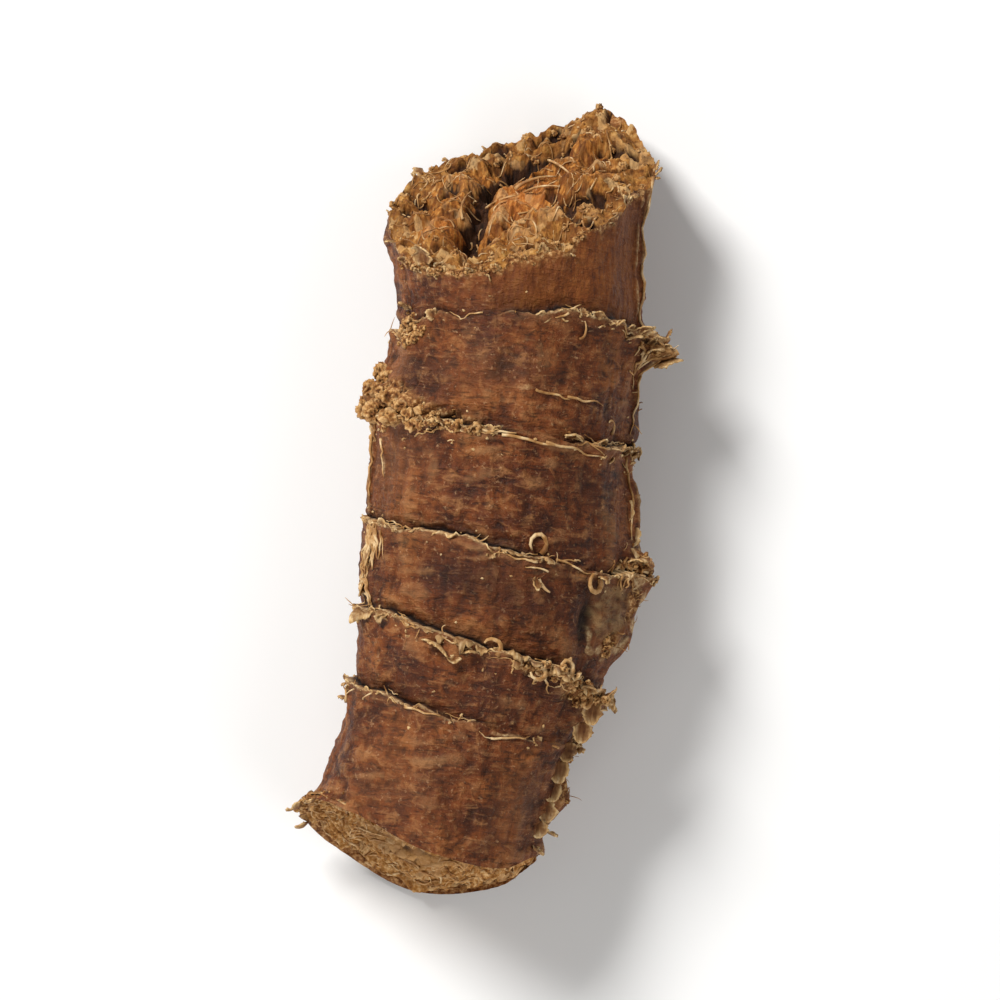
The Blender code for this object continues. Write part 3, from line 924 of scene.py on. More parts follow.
def scraps():
    """The scraps that show best, and smaller ones all round the leaf scars, the seam and both ends."""
    draw = random.Random(23)
    made = [scrap(*spec, 300 + i) for i, spec in enumerate(SCRAPS)]
    for i, (along, angle, length, width) in enumerate(SIDE_SCALES):
        spec = (along + length / 2, angle, 180, length, width, -4, 16, 350 + i)
        made.append(scrap(*spec, turned=SCALE_TURN, ragged=0.3))
    for i in range(LOOSE_SCRAPS):
        ring = draw.choice((1, 2, 2, 3, 4, 5, 6, 6))
        angle = draw.uniform(0, 360)
        if ring < 6 and float(at_ring(STRENGTHS, ring, angle)) < draw.random():
            angle = draw.gauss(SEAM_ANGLE, 6)
        along = float(at_ring(RINGS, ring, angle)) - draw.uniform(0.1, 0.7)
        size = draw.uniform(0.35, 1.0)
        heading, width = draw.gauss(0, 35), size * draw.uniform(0.5, 1.1)
        lift, curl = draw.uniform(5, 55), draw.gauss(40, 50)
        made.append(scrap(along, angle, heading, size, width, lift, curl, 400 + i))
    return made


def fibre(spot, ahead, axis, length, thickness, curl, seed):
    """A loose fibre from a spot, which turns about an axis by its curl, in degrees, and wavers."""
    count = 9
    path = [np.array(spot, float)]
    ahead = np.array(ahead, float) / np.linalg.norm(ahead)
    axis = np.array(axis, float) / (np.linalg.norm(axis) + 1e-9)
    for i in range(count - 1):
        waver = 0.45 * noise.noise((0.9 * i, seed * 1.7, 0.3))
        turn = math.radians(curl) / (count - 1) + waver
        ahead = ahead * math.cos(turn) + np.cross(axis, ahead) * math.sin(turn)
        ahead = ahead / np.linalg.norm(ahead)
        path.append(path[-1] + ahead * length / (count - 1))
    return thread(np.array(path), thickness, np.linspace(0, 1, count))


# Curled strands that show best: place along Y, angle, heading, length, thickness, curl.
CURLS = (
    (-3.1, 70, 70, 3.4, 0.42, 290),
    (-4.5, 40, 110, 3.6, 0.44, -310),
    (-4.9, 71, 170, 1.3, 0.32, 60),
    (-3.2, 79, 80, 1.7, 0.34, -120),
    (-10.7, 84, 80, 2.4, 0.40, 230),
    (-11.2, 66, 60, 2.8, 0.42, -250),
    (-11.8, 50, 100, 3.4, 0.42, 300),
    (-12.5, 34, 70, 2.8, 0.40, -240),
    (12.6, 60, 80, 1.6, 0.20, 120),
    (6.0, 30, 60, 1.8, 0.26, 200),
    (5.6, 96, 80, 1.6, 0.22, -160),
    (-15.2, 168, 80, 1.4, 0.24, 180),
    (5.4, 250, 70, 2.0, 0.30, 220),
    (-2.9, 290, 90, 2.2, 0.30, -240),
    (-11.0, 236, 60, 2.0, 0.30, 200),
)


def curls():
    """Curled strands that lie on the skin at the leaf scars."""
    made = []
    for i, (along, angle, heading, length, thickness, curl) in enumerate(CURLS):
        foot, out = rooted(along, angle)
        ahead = headed(out, heading) + 0.12 * out
        made.append(fibre(foot + 0.1 * out, ahead, out, length, thickness, curl, 500 + i))
    return made


# Loose fibres that stand out of each end's face: how many, the longest, how widely they lean.
SNAPPED_FIBRES = (36, 1.9, 0.8)
SLICED_FIBRES = (30, 1.0, 0.8)
# Fibres that lie matted on each face: the share of the way in that they reach, how many, the longest, the
# thickest, and the palest, from 0 for a root's brown to 1 for a tip's straw.
SNAPPED_MATTING = (0.70, 230, 2.6, 0.17, 0.45)
SLICED_MATTING = (0.60, 330, 3.4, 0.20, 0.80)


def face_fibres(face, draw, count, longest, spread):
    """Loose fibres that stand out of an end's face, more of them near its rim."""
    made = []
    side = math.copysign(1, face[0, 0, 1])
    for i in range(count):
        spot = face[int(len(face) * draw.random() ** 1.6), draw.randrange(POINTS_ROUND)]
        lean = np.array([draw.gauss(0, spread) for _ in range(3)])
        ahead = lean + (0, side, 0)
        length = longest * draw.uniform(0.25, 1) ** 1.5
        spec = (length, draw.uniform(0.06, 0.14), draw.gauss(0, 130), 600 + i)
        made.append(fibre(spot - 0.15 * ahead, ahead, lean, *spec))
    return made


def evened(path, width):
    """A path whose points are each the mean of this many, so it bridges what is narrower."""
    return np.stack([np.convolve(path[:, i], np.ones(width) / width, "valid") for i in range(3)], axis=1)


def matted_fibres(face, looks, draw, reach, count, longest, thickest, palest):
    """Fibres that lie matted on an end's face, most of them along its rim, and bridge its pits."""
    made = []
    row_mm = HALF_WIDTH / len(face)
    for _ in range(count):
        share = 1 - math.sqrt(draw.uniform((1 - reach) ** 2, 1))
        column = POINTS_ROUND * draw.random()
        heading = draw.gauss(0, 0.55) + (math.pi if draw.random() < 0.5 else 0)
        run = np.linspace(0, longest * draw.uniform(0.25, 1) ** 1.5, 26)
        bend = heading + draw.gauss(0, 0.5) * run
        column_mm = math.tau * HALF_WIDTH / POINTS_ROUND * (1 - share)
        rows = np.clip(share * len(face) + run * np.sin(bend) / row_mm, 1, len(face) - 2).astype(int)
        columns = (column + run * np.cos(bend) / column_mm).astype(int) % POINTS_ROUND
        thickness = thickest * draw.uniform(0.4, 1)
        path = evened(face[rows, columns], 7)[::2] + 0.45 * thickness * looks
        made.append(thread(path, thickness, draw.uniform(0.0, palest)))
    return made


# Strands that bridge the crack of the snapped face, seen from above: where each starts, its middle and where
# it stops, across X and along Y, and its thickness.
BRIDGES = (
    ((0.2, 23.2), (1.3, 24.3), (3.1, 24.4), 0.28),
    ((0.9, 23.0), (2.0, 23.7), (3.4, 23.6), 0.20),
    ((-1.8, 21.6), (-0.8, 22.5), (0.4, 22.7), 0.20),
    ((-3.4, 20.6), (-3.9, 21.8), (-3.0, 22.8), 0.22),
    ((2.4, 25.6), (3.6, 25.2), (4.4, 24.2), 0.20),
)


def bridges(face):
    """The strands that bridge the crack, each bowed up a little between its two roots."""
    made = []
    near = face.reshape(-1, 3)
    t = np.linspace(0, 1, 14)[:, None]
    for start, middle, stop, thickness in BRIDGES:
        flat = (1 - t) ** 2 * np.array(start) + 2 * t * (1 - t) * np.array(middle) + t**2 * np.array(stop)
        feet = [near[np.hypot(*(near[:, :2] - foot).T) < 0.3][:, 2].max() for foot in (start, stop)]
        level = feet[0] + t * (feet[1] - feet[0]) + 0.35 * np.sin(math.pi * t)
        path = np.concatenate([flat, level], axis=1)
        made.append(thread(path, thickness, np.linspace(0.5, 1, len(t))))
    return made


def skin_strand(start, stop, thickness, seed):
    """A strand that lies on the skin from one place on it to another, and wavers."""
    t = np.linspace(0, 1, 12)
    aside, round_tube = ([noise.noise((3 * at, seed * 1.7, way)) for at in t] for way in (0.3, 7.3))
    along = start[0] + t * (stop[0] - start[0]) + 0.35 * np.array(aside)
    angles = start[1] + t * (stop[1] - start[1]) + 2.5 * np.array(round_tube)
    points, _ = skin_at(along, angles)
    return thread(points + outward(angles) * 0.35 * thickness, thickness, np.linspace(0.2, 1, len(t)))


# Strands on the skin that show best: where each starts and stops, as place along Y and angle, and its
# thickness.
LONG_STRANDS = (
    ((8.6, 79), (8.3, 60), 0.22),
    ((8.5, 62), (8.1, 41), 0.20),
    ((5.5, 104), (5.3, 84), 0.22),
    ((5.3, 90), (4.8, 66), 0.26),
    ((5.0, 72), (4.3, 44), 0.22),
    ((5.9, 60), (4.6, 42), 0.18),
    ((-3.5, 62), (-4.2, 45), 0.20),
    ((25.0, 9), (18.0, 8), 0.22),
    ((18.6, 8), (11.8, 9), 0.24),
    ((10.6, 9), (6.0, 12), 0.18),
    ((4.4, 13), (-1.6, 15), 0.20),
    ((-16.6, 74), (-16.2, 52), 0.18),
    ((-15.0, 120), (-15.5, 102), 0.20),
    ((4.6, 171), (-0.4, 169), 0.24),
    ((4.2, 157), (1.2, 154), 0.18),
)
# How many strands lie along each leaf scar, from the sliced end up, and how many hairs and flecks of paper
# lie along them all.
RING_STRANDS = (9, 18, 14, 22, 14)
RING_HAIRS = 200
FLECKS = 240


def ring_strands(draw):
    """The strands that show best, and torn ones along the leaf scars, also where the paper has gone."""
    made = [skin_strand(*spec, 1400 + i) for i, spec in enumerate(LONG_STRANDS)]
    for ring, count in enumerate(RING_STRANDS, start=1):
        for _ in range(count):
            angles = draw.uniform(0, 360) + np.linspace(0, draw.uniform(4, 20), 14)
            drop = draw.gauss(-0.15, 0.30) + 0.35 * lumps(outward(angles), 0.10, 1500 + len(made))
            points, _ = skin_at(at_ring(RINGS, ring, angles) + drop, angles)
            thickness = draw.uniform(0.08, 0.20)
            path = points + outward(angles) * 0.4 * thickness
            made.append(thread(path, thickness, draw.uniform(0.3, 1.0)))
    return made


# Where strands of a worn leaf base fan out over the skin: place along Y, angle, spread along, spread round,
# how far they run towards the snapped end and up round the tube, and how many.
FANS = (
    (-2.4, 156, 0.3, 9, -2.6, 5, 34),
    (-5.2, 166, 0.8, 4, -2.0, 2, 14),
    (5.2, 168, 0.3, 6, -1.4, 4, 14),
    (-3.2, 24, 0.3, 7, -1.6, -2, 12),
    (-11.4, 58, 0.4, 14, -1.0, -3, 16),
    (12.4, 10, 0.5, 8, -1.8, -2, 14),
    (-3.6, 236, 0.4, 22, -1.8, 5, 18),
    (5.2, 300, 0.4, 22, -1.8, -5, 18),
)


def fans(draw):
    """Every fan's strands."""
    made = []
    for place, angle, spread, turn, run, rise, count in FANS:
        for _ in range(count):
            start = (place + draw.gauss(0, spread), angle + draw.gauss(0, turn / 2))
            share = draw.uniform(0.35, 1.2)
            stop = (start[0] + run * share, start[1] + (rise + draw.gauss(0, 5)) * share)
            made.append(skin_strand(start, stop, draw.uniform(0.10, 0.26), 1200 + len(made)))
    return made


def flecks():
    """Small flecks of paper stuck to the skin near the leaf scars."""
    draw = random.Random(47)
    made = []
    for i in range(FLECKS):
        ring = draw.choice((1, 2, 3, 3, 4, 4, 5))
        angle = draw.uniform(0, 360)
        spot, out = rooted(float(at_ring(RINGS, ring, angle)) + draw.gauss(-0.3, 0.9), angle)
        points, faces, _ = crumb(spot, out, draw.uniform(0.05, 0.15), 0.8, 3000 + i)
        made.append((points, faces, draw.uniform(0.5, 1.0)))
    return made


def ring_hairs(draw):
    """Short bent hairs that lie close to the skin at the leaf scars and down the seam."""
    made = []
    for i in range(RING_HAIRS):
        ring = draw.choice((1, 2, 2, 3, 4, 5))
        angle = draw.uniform(0, 360)
        along = float(at_ring(RINGS, ring, angle)) - draw.uniform(0, 0.3)
        if float(at_ring(STRENGTHS, ring, angle)) < draw.random():
            angle, along = draw.gauss(SEAM_ANGLE + 4, 6), draw.uniform(-24, 14)
        foot, out = rooted(along, angle)
        ahead = np.array([draw.gauss(middle, 0.6) for middle in (0, 0.3, 0)]) + out * draw.uniform(0.1, 0.6)
        length = draw.uniform(0.3, 1.1)
        axis = [draw.gauss(0, 1) for _ in range(3)]
        thickness, curl = draw.uniform(0.06, 0.13), draw.gauss(0, 110)
        made.append(fibre(foot - 0.05 * out, ahead, axis, length, thickness, curl, 900 + i))
    return made


# Where crumbs gather: place along Y, angle, spread along, spread round, how many, largest radius.
CRUMB_BEDS = (
    (6.0, 150, 0.9, 20, 12, 0.24),
    (6.1, 122, 0.5, 14, 16, 0.26),
    (12.4, 156, 0.7, 12, 18, 0.30),
    (17.0, 130, 0.8, 26, 34, 0.34),
    (18.0, 95, 0.8, 22, 20, 0.26),
    (-11.4, 58, 0.5, 16, 22, 0.28),
    (-12.8, 30, 0.8, 9, 24, 0.32),
    (-3.6, 12, 1.6, 7, 22, 0.30),
    (-18.5, 13, 4.2, 5, 40, 0.26),
    (12.6, 6, 1.0, 7, 12, 0.34),
    (-23.4, 192, 0.7, 16, 22, 0.32),
    (-22.0, 160, 0.6, 16, 10, 0.22),
    (5.6, 250, 0.7, 40, 18, 0.32),
    (-10.8, 290, 0.7, 40, 18, 0.32),
)
# Where larger, rounder knobs of cork swell out, in the same order.
KNOB_BEDS = (
    (7.5, 172, 1.6, 14, 50, 0.66),
    (7.0, 160, 1.4, 14, 50, 0.72),
    (6.1, 146, 1.0, 12, 40, 0.70),
    (5.8, 130, 0.5, 12, 30, 0.66),
    (5.6, 116, 0.35, 10, 24, 0.60),
    (5.5, 103, 0.25, 6, 10, 0.56),
    (12.0, 150, 0.8, 14, 34, 0.46),
    (-11.2, 66, 0.3, 10, 12, 0.40),
    (-12.0, 48, 0.4, 10, 14, 0.42),
    (-13.0, 30, 0.8, 8, 24, 0.50),
    (-3.4, 14, 0.5, 4, 10, 0.42),
    (-9.4, 25, 0.6, 5, 16, 0.42),
    (5.4, 235, 0.5, 16, 20, 0.46),
    (-10.9, 300, 0.5, 16, 20, 0.46),
)
# How many crumbs lie on the snapped face's rind.
FACE_CRUMBS = 150


def crumb(spot, out, radius, rough, seed, sunk=0.15):
    """One crumb, sunk by a share of its radius in what it sits on: rounded, or angular where it is rougher.
    Its values say how far each point stands out of it, from 0 to 1."""
    shape = bmesh.new()
    level = 2 + (radius > 0.20) + (radius > 0.42)
    bmesh.ops.create_icosphere(shape, subdivisions=level, radius=1.0)
    ball = np.array([vertex.co for vertex in shape.verts])
    faces = [[vertex.index for vertex in face.verts] for face in shape.faces]
    shape.free()
    draw = random.Random(seed)
    stretch = np.array([draw.uniform(0.75, 1.2) for _ in range(3)])
    uneven = 1.1 + 0.5 * lumps(ball, 0.9, seed) - 0.55 * rough * creases(ball, 0.6, seed + 1)
    uneven += 0.22 * lumps(ball, 0.28, seed + 2)
    points = spot - sunk * radius * out + ball * stretch * uneven[:, None] * radius
    return points, faces, ramp(uneven, 0.55, 1.30)


def face_crumbs(face):
    """Crumbs on the snapped face's rind."""
    draw = random.Random(41)
    made = []
    for i in range(FACE_CRUMBS):
        spot = face[int(len(face) * 0.32 * draw.random()), draw.randrange(POINTS_ROUND)]
        radius = 0.36 * draw.uniform(0.25, 1) ** 1.6
        made.append(crumb(spot, np.array((0, 1, 0)), radius, 1.0, 2000 + i))
    return made


def crumbs():
    """Beds of crumbs and knobs at the rings, the seam and both ends. No knob swells into another."""
    draw = random.Random(5)
    made = []
    # The smallest as a share of the largest, how rough, how deeply sunk, and how far apart they keep.
    crumbs_go = (CRUMB_BEDS, 0.25, 1.0, 0.15, 0.0)
    knobs_go = (KNOB_BEDS, 0.5, 0.8, 0.0, 0.70)
    for beds, smallest, rough, sunk, apart_share in (crumbs_go, knobs_go):
        placed = []
        for along, angle, spread, turn, count, largest in beds:
            for _ in range(count):
                spot, out = rooted(along + draw.gauss(0, spread / 2), angle + draw.gauss(0, turn / 2))
                radius = largest * draw.uniform(smallest, 1) ** 1.3
                reach = apart_share * radius
                if any(np.linalg.norm(spot - other) < reach + apart_share * size for other, size in placed):
                    continue
                placed.append((spot, radius))
                made.append(crumb(spot, out, radius, rough, 1000 + len(made), sunk))
    return made


def linear(code):
    """An sRGB hex colour as linear red, green, blue and alpha."""
    shares = [int(code[i : i + 2], 16) / 255 for i in (1, 3, 5)]
    return [*(s / 12.92 if s <= 0.04045 else ((s + 0.055) / 1.055) ** 2.4 for s in shares), 1.0]


def add_node(tree, kind, inputs, output=None, stops=(), **settings):
    """Add a node with its settings, its colour stops, and a value or a link on each input. Gives back its
    output of that name, or else its first one in use."""
    made = tree.nodes.new("ShaderNode" + kind)
    for name, value in settings.items():
        setattr(made, name, value)
    if stops:
        made.color_ramp.elements.remove(made.color_ramp.elements[1])
    for i, (place, code) in enumerate(stops):
        stop = made.color_ramp.elements.new(place) if i else made.color_ramp.elements[0]
        stop.position, stop.color = place, linear(code)
    for key, value in inputs.items():
        named = (socket for socket in made.inputs if socket.enabled and socket.name == key)
        socket = made.inputs[key] if isinstance(key, int) else next(named)
        if isinstance(value, bpy.types.NodeSocket):
            tree.links.new(value, socket)
        else:
            socket.default_value = value
    return made.outputs[output] if output else next(socket for socket in made.outputs if socket.enabled)


# Solid plant stuff has an IOR of about 1.47. Dried, it is porous and mirrors less, as at this IOR.
PLANT_IOR = 1.30


def new_material(name, roughness, masks=()):
    """A material, its node tree, the place on the piece in millimetres and the piece's masks by name."""
    material = bpy.data.materials.new(name)
    material.use_nodes = True
    tree = material.node_tree
    shader = tree.nodes["Principled BSDF"]
    shader.inputs["Roughness"].default_value = roughness
    shader.inputs["IOR"].default_value = PLANT_IOR
    metres = add_node(tree, "TexCoord", {}, output="Object")
    place = add_node(tree, "VectorMath", {0: metres, 1: (1 / MM,) * 3}, operation="MULTIPLY")
    found = {mask: add_node(tree, "Attribute", {}, output="Fac", attribute_name=mask) for mask in masks}
    return material, tree, place, found


def coated(tree, colour, coats):
    """A colour with others laid over it in turn, each where its own value goes from low to high, at most so
    strongly."""
    for value, low, high, most, code in coats:
        inputs = {"Value": value, "From Min": low, "From Max": high, "To Min": 0.0, "To Max": most}
        factor = add_node(tree, "MapRange", inputs, clamp=True)
        over = code if isinstance(code, bpy.types.NodeSocket) else linear(code)
        colour = add_node(tree, "Mix", {"Factor": factor, "A": colour, "B": over}, data_type="RGBA")
    return colour


def finish(tree, colour, bumps):
    """Give a material its colour and its fine relief: what each bump follows, and its height in
    millimetres."""
    shader = tree.nodes["Principled BSDF"]
    tree.links.new(colour, shader.inputs["Base Color"])
    so_far = {}
    for height, distance in bumps:
        so_far["Normal"] = add_node(tree, "Bump", {"Height": height, "Distance": distance * MM, **so_far})
    if so_far:
        tree.links.new(so_far["Normal"], shader.inputs["Normal"])


def dried_bark():
    """Dried rhizome skin: thin cork that shrank on to the flesh. It looks red-brown and blotchy with a dull
    satin shine, with painted shade down its creases and lighter tan where it stands proud."""
    names = ("height", "tone", "bare_band", "crumbly", "rimmed", "stub_face", "pit", "under_lip")
    edges = ("scar_groove", "scale_edge", "snapped_edge", "sliced_edge")
    material, tree, place, masks = new_material("dried_bark", 0.60, names + edges)
    lengthwise = add_node(tree, "VectorMath", {0: place, 1: (1, 0.2, 1)}, operation="MULTIPLY")
    crosswise = add_node(tree, "VectorMath", {0: place, 1: (0.25, 1, 0.25)}, operation="MULTIPLY")
    # Blotches 4 mm wide, mottles of 1.1 mm, cork threads 0.3 mm wide, hair cracks across them, specks of
    # 0.35 mm and a grain of 0.12 mm. The finest real threads, of 0.1 mm, are drawn this coarse to show.
    blotch, mottle, threads, cracks, specks, grain = (
        add_node(
            tree,
            "TexNoise",
            {"Vector": along, "Scale": 1 / size, "Detail": detail, "Roughness": rough, "Distortion": swirl},
        )
        for along, size, detail, rough, swirl in (
            (place, 4.0, 5.0, 0.62, 0.0),
            (place, 1.1, 4.0, 0.65, 0.6),
            (lengthwise, 0.3, 4.0, 0.60, 0.0),
            (crosswise, 0.35, 4.0, 0.60, 0.8),
            (place, 0.35, 3.0, 0.65, 0.0),
            (place, 0.12, 3.0, 0.60, 0.0),
        )
    )
    browns = ((0.30, "#3e1a08"), (0.43, "#5a2a0e"), (0.53, "#703815"), (0.63, "#844a21"), (0.75, "#975f32"))
    colour, bare, cork, paper = (
        add_node(tree, "ValToRGB", {"Fac": value}, stops=stops)
        for value, stops in (
            (blotch, browns),
            (threads, ((0.30, "#57290c"), (0.50, "#784017"), (0.70, "#905724"))),
            (specks, ((0.32, "#4c260d"), (0.48, "#8b5829"), (0.60, "#c1905a"), (0.72, "#dfba84"))),
            (specks, ((0.35, "#84603f"), (0.50, "#b08a5d"), (0.65, "#d9bc8c"))),
        )
    )
    stub_mottle = add_node(tree, "Math", {0: masks["stub_face"], 1: mottle}, operation="MULTIPLY")
    coats = (
        (mottle, 0.48, 0.34, 0.70, "#281006"),
        (mottle, 0.54, 0.68, 0.55, "#aa7444"),
        (threads, 0.44, 0.28, 0.40, "#331607"),
        (cracks, 0.45, 0.34, 0.66, "#1b0a03"),
        (cracks, 0.55, 0.68, 0.38, "#b07a4a"),
        (specks, 0.60, 0.72, 0.55, "#bd9268"),
        (grain, 0.42, 0.26, 0.50, "#260f05"),
        # Tone patches, and painted light in one of them low on the right side.
        (masks["tone"], 0.0, 1.0, 0.70, "#985f36"),
        (masks["tone"], 0.0, -1.0, 0.85, "#2c1208"),
        # Painted shade in the creases of the fine relief, and lighter tan where it stands proud.
        (masks["height"], 0.0, -0.9, 0.65, "#1c0a04"),
        (masks["height"], 0.3, 1.3, 0.50, "#a5764a"),
        (masks["bare_band"], 0.0, 1.0, 0.70, bare),
        (masks["stub_face"], 0.1, 0.9, 0.36, "#644c32"),
        (stub_mottle, 0.44, 0.60, 0.40, "#a3865a"),
        (masks["under_lip"], 0.25, 1.0, 0.35, "#8c6240"),
        (masks["crumbly"], 0.1, 0.9, 0.92, cork),
        # Painted shade in the gaps between crumbled lumps.
        (masks["height"], -0.8, -2.2, 0.90, "#1c0a04"),
        (masks["rimmed"], 0.3, 0.8, 0.80, paper),
        # Painted shade in the root scars' pits and the groove beside the stub.
        (masks["pit"], 0.2, 0.9, 0.90, "#140803"),
        # Painted shade down the groove above each leaf scar.
        (masks["scar_groove"], 0.10, 0.80, 0.96, "#0e0502"),
        (masks["scale_edge"], 0.30, 0.85, 0.85, paper),
        (masks["snapped_edge"], 0.2, 0.9, 0.90, cork),
        (masks["sliced_edge"], 0.3, 0.7, 0.85, cork),
    )
    bumps = ((threads, 0.05), (cracks, 0.18), (mottle, 0.25), (specks, 0.10), (grain, 0.04))
    finish(tree, coated(tree, colour, coats), bumps)
    dullness = {"Value": blotch, "From Min": 0.3, "From Max": 0.7, "To Min": 0.50, "To Max": 0.70}
    shader = tree.nodes["Principled BSDF"]
    tree.links.new(add_node(tree, "MapRange", dullness), shader.inputs["Roughness"])
    return material


def leaf_paper():
    """What is left of the leaves: thin, dry and papery with veins 0.25 mm apart, brown at the foot and
    bleached to cream along the torn edge."""
    material, tree, place, masks = new_material("leaf_paper", 0.60, ("tip",))
    along_veins = add_node(tree, "VectorMath", {0: place, 1: (1, 0.2, 1)}, operation="MULTIPLY")
    inputs = {"Vector": along_veins, "Scale": 1 / 0.25, "Detail": 4.0, "Roughness": 0.6}
    veins = add_node(tree, "TexNoise", inputs)
    inputs = {"Vector": place, "Scale": 1 / 1.0, "Detail": 4.0, "Roughness": 0.65}
    patches = add_node(tree, "TexNoise", inputs)
    browns = ((0.30, "#4a260f"), (0.50, "#704522"), (0.70, "#93663a"))
    creams = ((0.30, "#a27543"), (0.50, "#cfa870"), (0.70, "#edd4a6"))
    foot = add_node(tree, "ValToRGB", {"Fac": veins}, stops=browns)
    torn = add_node(tree, "ValToRGB", {"Fac": veins}, stops=creams)
    coats = (
        (masks["tip"], 0.10, 0.85, 1.0, torn),
        (patches, 0.54, 0.36, 0.75, "#6e431f"),
        (patches, 0.40, 0.28, 0.70, "#371a09"),
    )
    finish(tree, coated(tree, foot, coats), ((veins, 0.06),))
    return material


def torn_flesh():
    """Snapped rhizome flesh: a mealy, golden rind round an orange, stringy core. Each bundle of strings has
    its own tint, and painted shade darkens the crack and the gaps and pits between them. The strings are
    0.25 mm wide and the meal 0.7 mm."""
    material, tree, place, masks = new_material("torn_flesh", 0.72, ("core", "rind", "tint", "deep"))
    lengthwise = add_node(tree, "VectorMath", {0: place, 1: (1, 0.12, 1)}, operation="MULTIPLY")
    inputs = {"Vector": lengthwise, "Scale": 1 / 0.25, "Detail": 4.0, "Roughness": 0.65}
    strings = add_node(tree, "TexNoise", inputs)
    meal = add_node(tree, "TexNoise", {"Vector": place, "Scale": 1 / 0.7, "Detail": 5.0, "Roughness": 0.7})
    golds = ((0.28, "#532a0a"), (0.42, "#7f4916"), (0.54, "#a76a28"), (0.66, "#c58d46"), (0.80, "#dfb473"))
    flesh, core, painted_deep_shades, rind = (
        add_node(tree, "ValToRGB", {"Fac": value}, stops=stops)
        for value, stops in (
            (strings, golds),
            (strings, ((0.30, "#7c3f10"), (0.50, "#ab6122"), (0.70, "#cf8c47"))),
            (strings, ((0.35, "#120702"), (0.65, "#3a1c0a"))),
            (meal, ((0.30, "#55300f"), (0.46, "#895622"), (0.58, "#b57f3c"), (0.74, "#ddb06a"))),
        )
    )
    coats = (
        (masks["core"], 0.2, 1.0, 0.80, core),
        (masks["rind"], 0.1, 0.9, 0.85, rind),
        (masks["tint"], 0.45, 0.10, 0.55, "#5c2d0c"),
        (masks["tint"], 0.60, 0.95, 0.45, "#e0bd86"),
        (meal, 0.44, 0.28, 0.60, "#341805"),
        # Painted shade in the crack, the gaps and the pits.
        (masks["deep"], 0.15, 0.80, 0.96, painted_deep_shades),
    )
    finish(tree, coated(tree, flesh, coats), ((strings, 0.12), (meal, 0.16)))
    return material


def sliced_flesh():
    """Rhizome flesh sliced when fresh and dried since: golden strings dragged over by the knife round the
    rim, and pale string ends standing in browner, shrunken flesh inside, with painted shade where the face
    sinks. Its strings are 0.4 mm wide."""
    material, tree, place, masks = new_material("sliced_flesh", 0.68, ("deep", "tint", "outer"))
    inputs = {"Vector": place, "Scale": 1 / 0.4, "Detail": 5.0, "Roughness": 0.65}
    strings = add_node(tree, "TexNoise", inputs)
    inputs = {"Vector": place, "Scale": 1 / 2.4, "Detail": 4.0, "Roughness": 0.6}
    blotch = add_node(tree, "TexNoise", inputs)
    browns = ((0.30, "#6b4019"), (0.50, "#956835"), (0.70, "#bb8b52"))
    golds = ((0.32, "#6c3f16"), (0.49, "#b27a3a"), (0.64, "#e4ba80"))
    inner = add_node(tree, "ValToRGB", {"Fac": blotch}, stops=browns)
    outer = add_node(tree, "ValToRGB", {"Fac": strings}, stops=golds)
    coats = (
        (masks["outer"], 0.1, 0.9, 0.90, outer),
        (strings, 0.58, 0.72, 0.45, "#cfa97a"),
        (masks["tint"], 0.30, 0.05, 0.35, "#5a3213"),
        (masks["tint"], 0.70, 1.0, 0.35, "#dcba8a"),
        # Painted shade where the face sinks.
        (masks["deep"], 0.2, 1.0, 0.80, "#2a1608"),
    )
    finish(tree, coated(tree, inner, coats), ((strings, 0.12),))
    return material


def broken_cork():
    """Crumbs of broken cork and dried flesh: golden brown and dull, with grains of 0.5 mm, painted shade in
    their hollows and a painted highlight where they stand out."""
    material, tree, place, masks = new_material("broken_cork", 0.78, ("bump",))
    grains = add_node(tree, "TexNoise", {"Vector": place, "Scale": 1 / 0.5, "Detail": 5.0, "Roughness": 0.7})
    browns = ((0.32, "#593015"), (0.44, "#905c2d"), (0.55, "#bb8b51"), (0.70, "#e4bf8b"))
    colour = add_node(tree, "ValToRGB", {"Fac": grains}, stops=browns)
    coats = (
        # Painted shade in each crumb's hollows.
        (masks["bump"], 0.50, 0.10, 0.80, "#3f1f0b"),
        # Painted highlight where each crumb stands out.
        (masks["bump"], 0.60, 1.00, 0.45, "#dfb881"),
    )
    finish(tree, coated(tree, colour, coats), ((grains, 0.14),))
    return material


def dry_string():
    """Loose plant fibre: straw-coloured with a slight gloss and shades 1.2 mm long, browner at its root."""
    material, tree, place, masks = new_material("dry_string", 0.50, ("tip",))
    shades = add_node(tree, "TexNoise", {"Vector": place, "Scale": 1 / 1.2, "Detail": 3.0, "Roughness": 0.6})
    straws = ((0.35, "#8a5c2f"), (0.50, "#b98c57"), (0.65, "#dfc192"))
    colour = add_node(tree, "ValToRGB", {"Fac": shades}, stops=straws)
    finish(tree, coated(tree, colour, ((masks["tip"], 0.3, 0.0, 0.55, "#6b4220"),)), ())
    return material


# Lights: name, place in metres, side in metres, power in watts.
LIGHTS = (
    ("key", (-0.30, 0.30, 0.42), 0.18, 3.9),
    ("fill", (0.45, -0.20, 0.42), 0.50, 1.1),
    ("low_fill", (-0.16, -0.50, 0.16), 0.30, 1.2),
)
WORLD_STRENGTH = 0.22
FLOOR_HALF = 0.6
FLOOR_DROP = 0.0001
LENS = 300
SENSOR = 36
FRAME_HEIGHT = 0.074
AIM_X = 0.0005
ROLL = 5.5


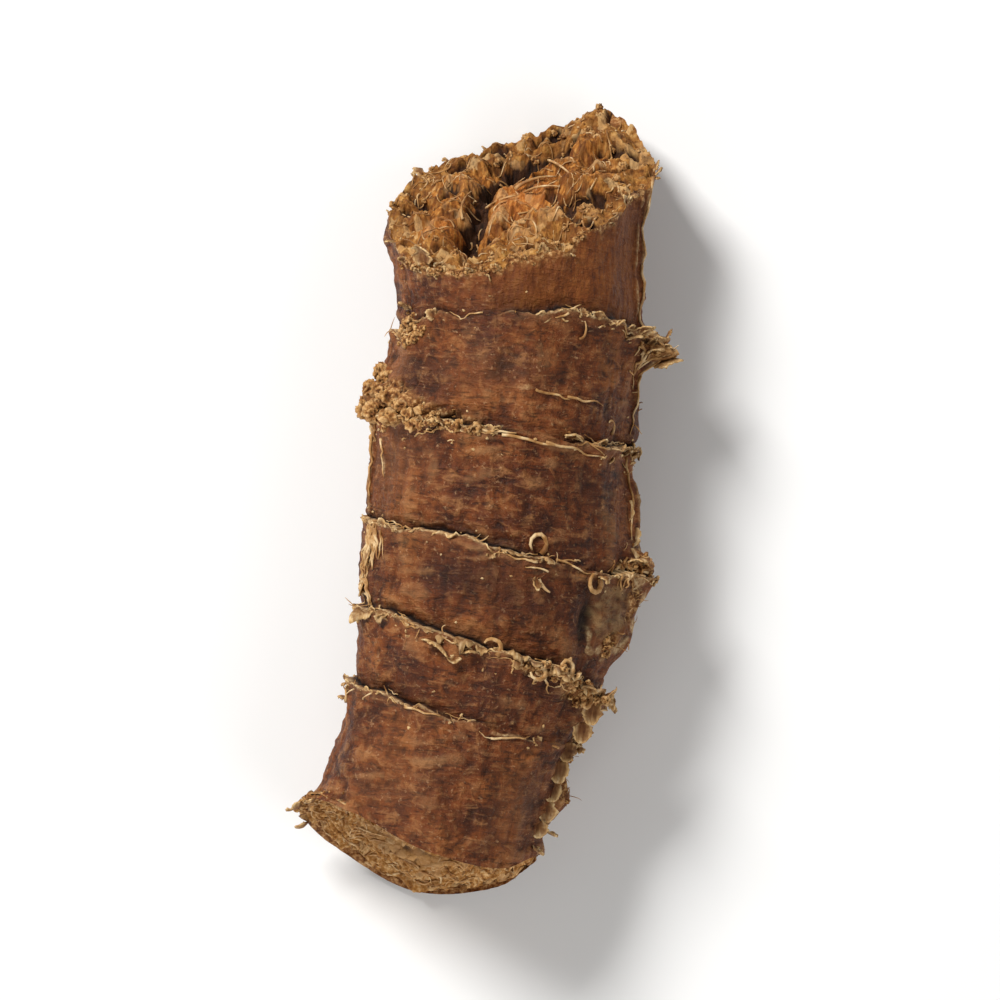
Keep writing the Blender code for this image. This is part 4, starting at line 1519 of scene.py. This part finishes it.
def studio():
    """A pale floor, soft light from the upper left and a camera straight above."""
    sheet = bpy.data.meshes.new("floor")
    corners = [(x * FLOOR_HALF, y * FLOOR_HALF, 0) for x, y in ((-1, -1), (1, -1), (1, 1), (-1, 1))]
    sheet.from_pydata(corners, [], [(0, 1, 2, 3)])
    paper, tree, _, _ = new_material("floor_paper", 0.9)
    tree.nodes["Principled BSDF"].inputs["Base Color"].default_value = linear("#f4f3f1")
    sheet.materials.append(paper)
    floor = bpy.data.objects.new("floor", sheet)
    floor.location.z = -FLOOR_DROP
    bpy.context.scene.collection.objects.link(floor)
    for name, place, size, power in LIGHTS:
        lamp = bpy.data.lights.new(name, "AREA")
        lamp.size = size
        lamp.energy = power
        light = bpy.data.objects.new(name, lamp)
        light.location = place
        light.rotation_euler = (-Vector(place)).to_track_quat("-Z", "Y").to_euler()
        bpy.context.scene.collection.objects.link(light)
    world = bpy.data.worlds.new("studio")
    world.use_nodes = True
    world.node_tree.nodes["Background"].inputs["Color"].default_value = linear("#ffffff")
    world.node_tree.nodes["Background"].inputs["Strength"].default_value = WORLD_STRENGTH
    bpy.context.scene.world = world
    lens = bpy.data.cameras.new("camera")
    lens.lens = LENS
    lens.sensor_width = SENSOR
    camera = bpy.data.objects.new("camera", lens)
    camera.location = (AIM_X, 0.0, FRAME_HEIGHT * LENS / SENSOR)
    camera.rotation_euler = (0, 0, math.radians(ROLL))
    bpy.context.scene.collection.objects.link(camera)
    bpy.context.scene.camera = camera
    bpy.context.scene.view_settings.view_transform = "Standard"


def build():
    """Every piece, from the bark in to the crumbs on it."""
    sliced_rim, snapped_rim = skin(dried_bark())
    sliced, sliced_looks = end_face("sliced_face", sliced_rim, SLICED_ROWS, sliced_form, sliced_flesh())
    snapped, snapped_looks = end_face("snapped_face", snapped_rim, SNAPPED_ROWS, snapped_form, torn_flesh())
    paper = leaf_paper()
    for name, sheets in (("leaf_frills", frills() + flecks()), ("skin_scraps", scraps())):
        points, faces, tips = gathered(sheets)
        piece(name, points, faces, paper, {"tip": tips})
    draw = random.Random(31)
    strands = curls() + ring_strands(draw) + ring_hairs(draw) + fans(draw) + bridges(snapped)
    strands += face_fibres(snapped, draw, *SNAPPED_FIBRES)
    strands += face_fibres(sliced, draw, *SLICED_FIBRES)
    strands += matted_fibres(snapped, snapped_looks, draw, *SNAPPED_MATTING)
    strands += matted_fibres(sliced, sliced_looks, draw, *SLICED_MATTING)
    points, faces, tips = gathered(strands)
    piece("loose_fibres", points, faces, dry_string(), {"tip": tips})
    points, faces, bumps = gathered(crumbs() + face_crumbs(snapped))
    piece("cork_crumbs", points, faces, broken_cork(), {"bump": bumps})


def settle_shift():
    """How far the form is moved sideways so that its box is centred where the solid's is."""
    rows = RINGS[0] + np.linspace(0, 1, 60)[:, None] * (RINGS[-1] - RINGS[0])
    points, _ = skin_at(rows.ravel(), np.tile(ROUND, len(rows)))
    shift = NODE_BOX.mean(axis=0) - (points.min(axis=0) + points.max(axis=0)) / 2
    return np.array([shift[0], shift[1], 0.0])


SETTLE = settle_shift()
build()
studio()
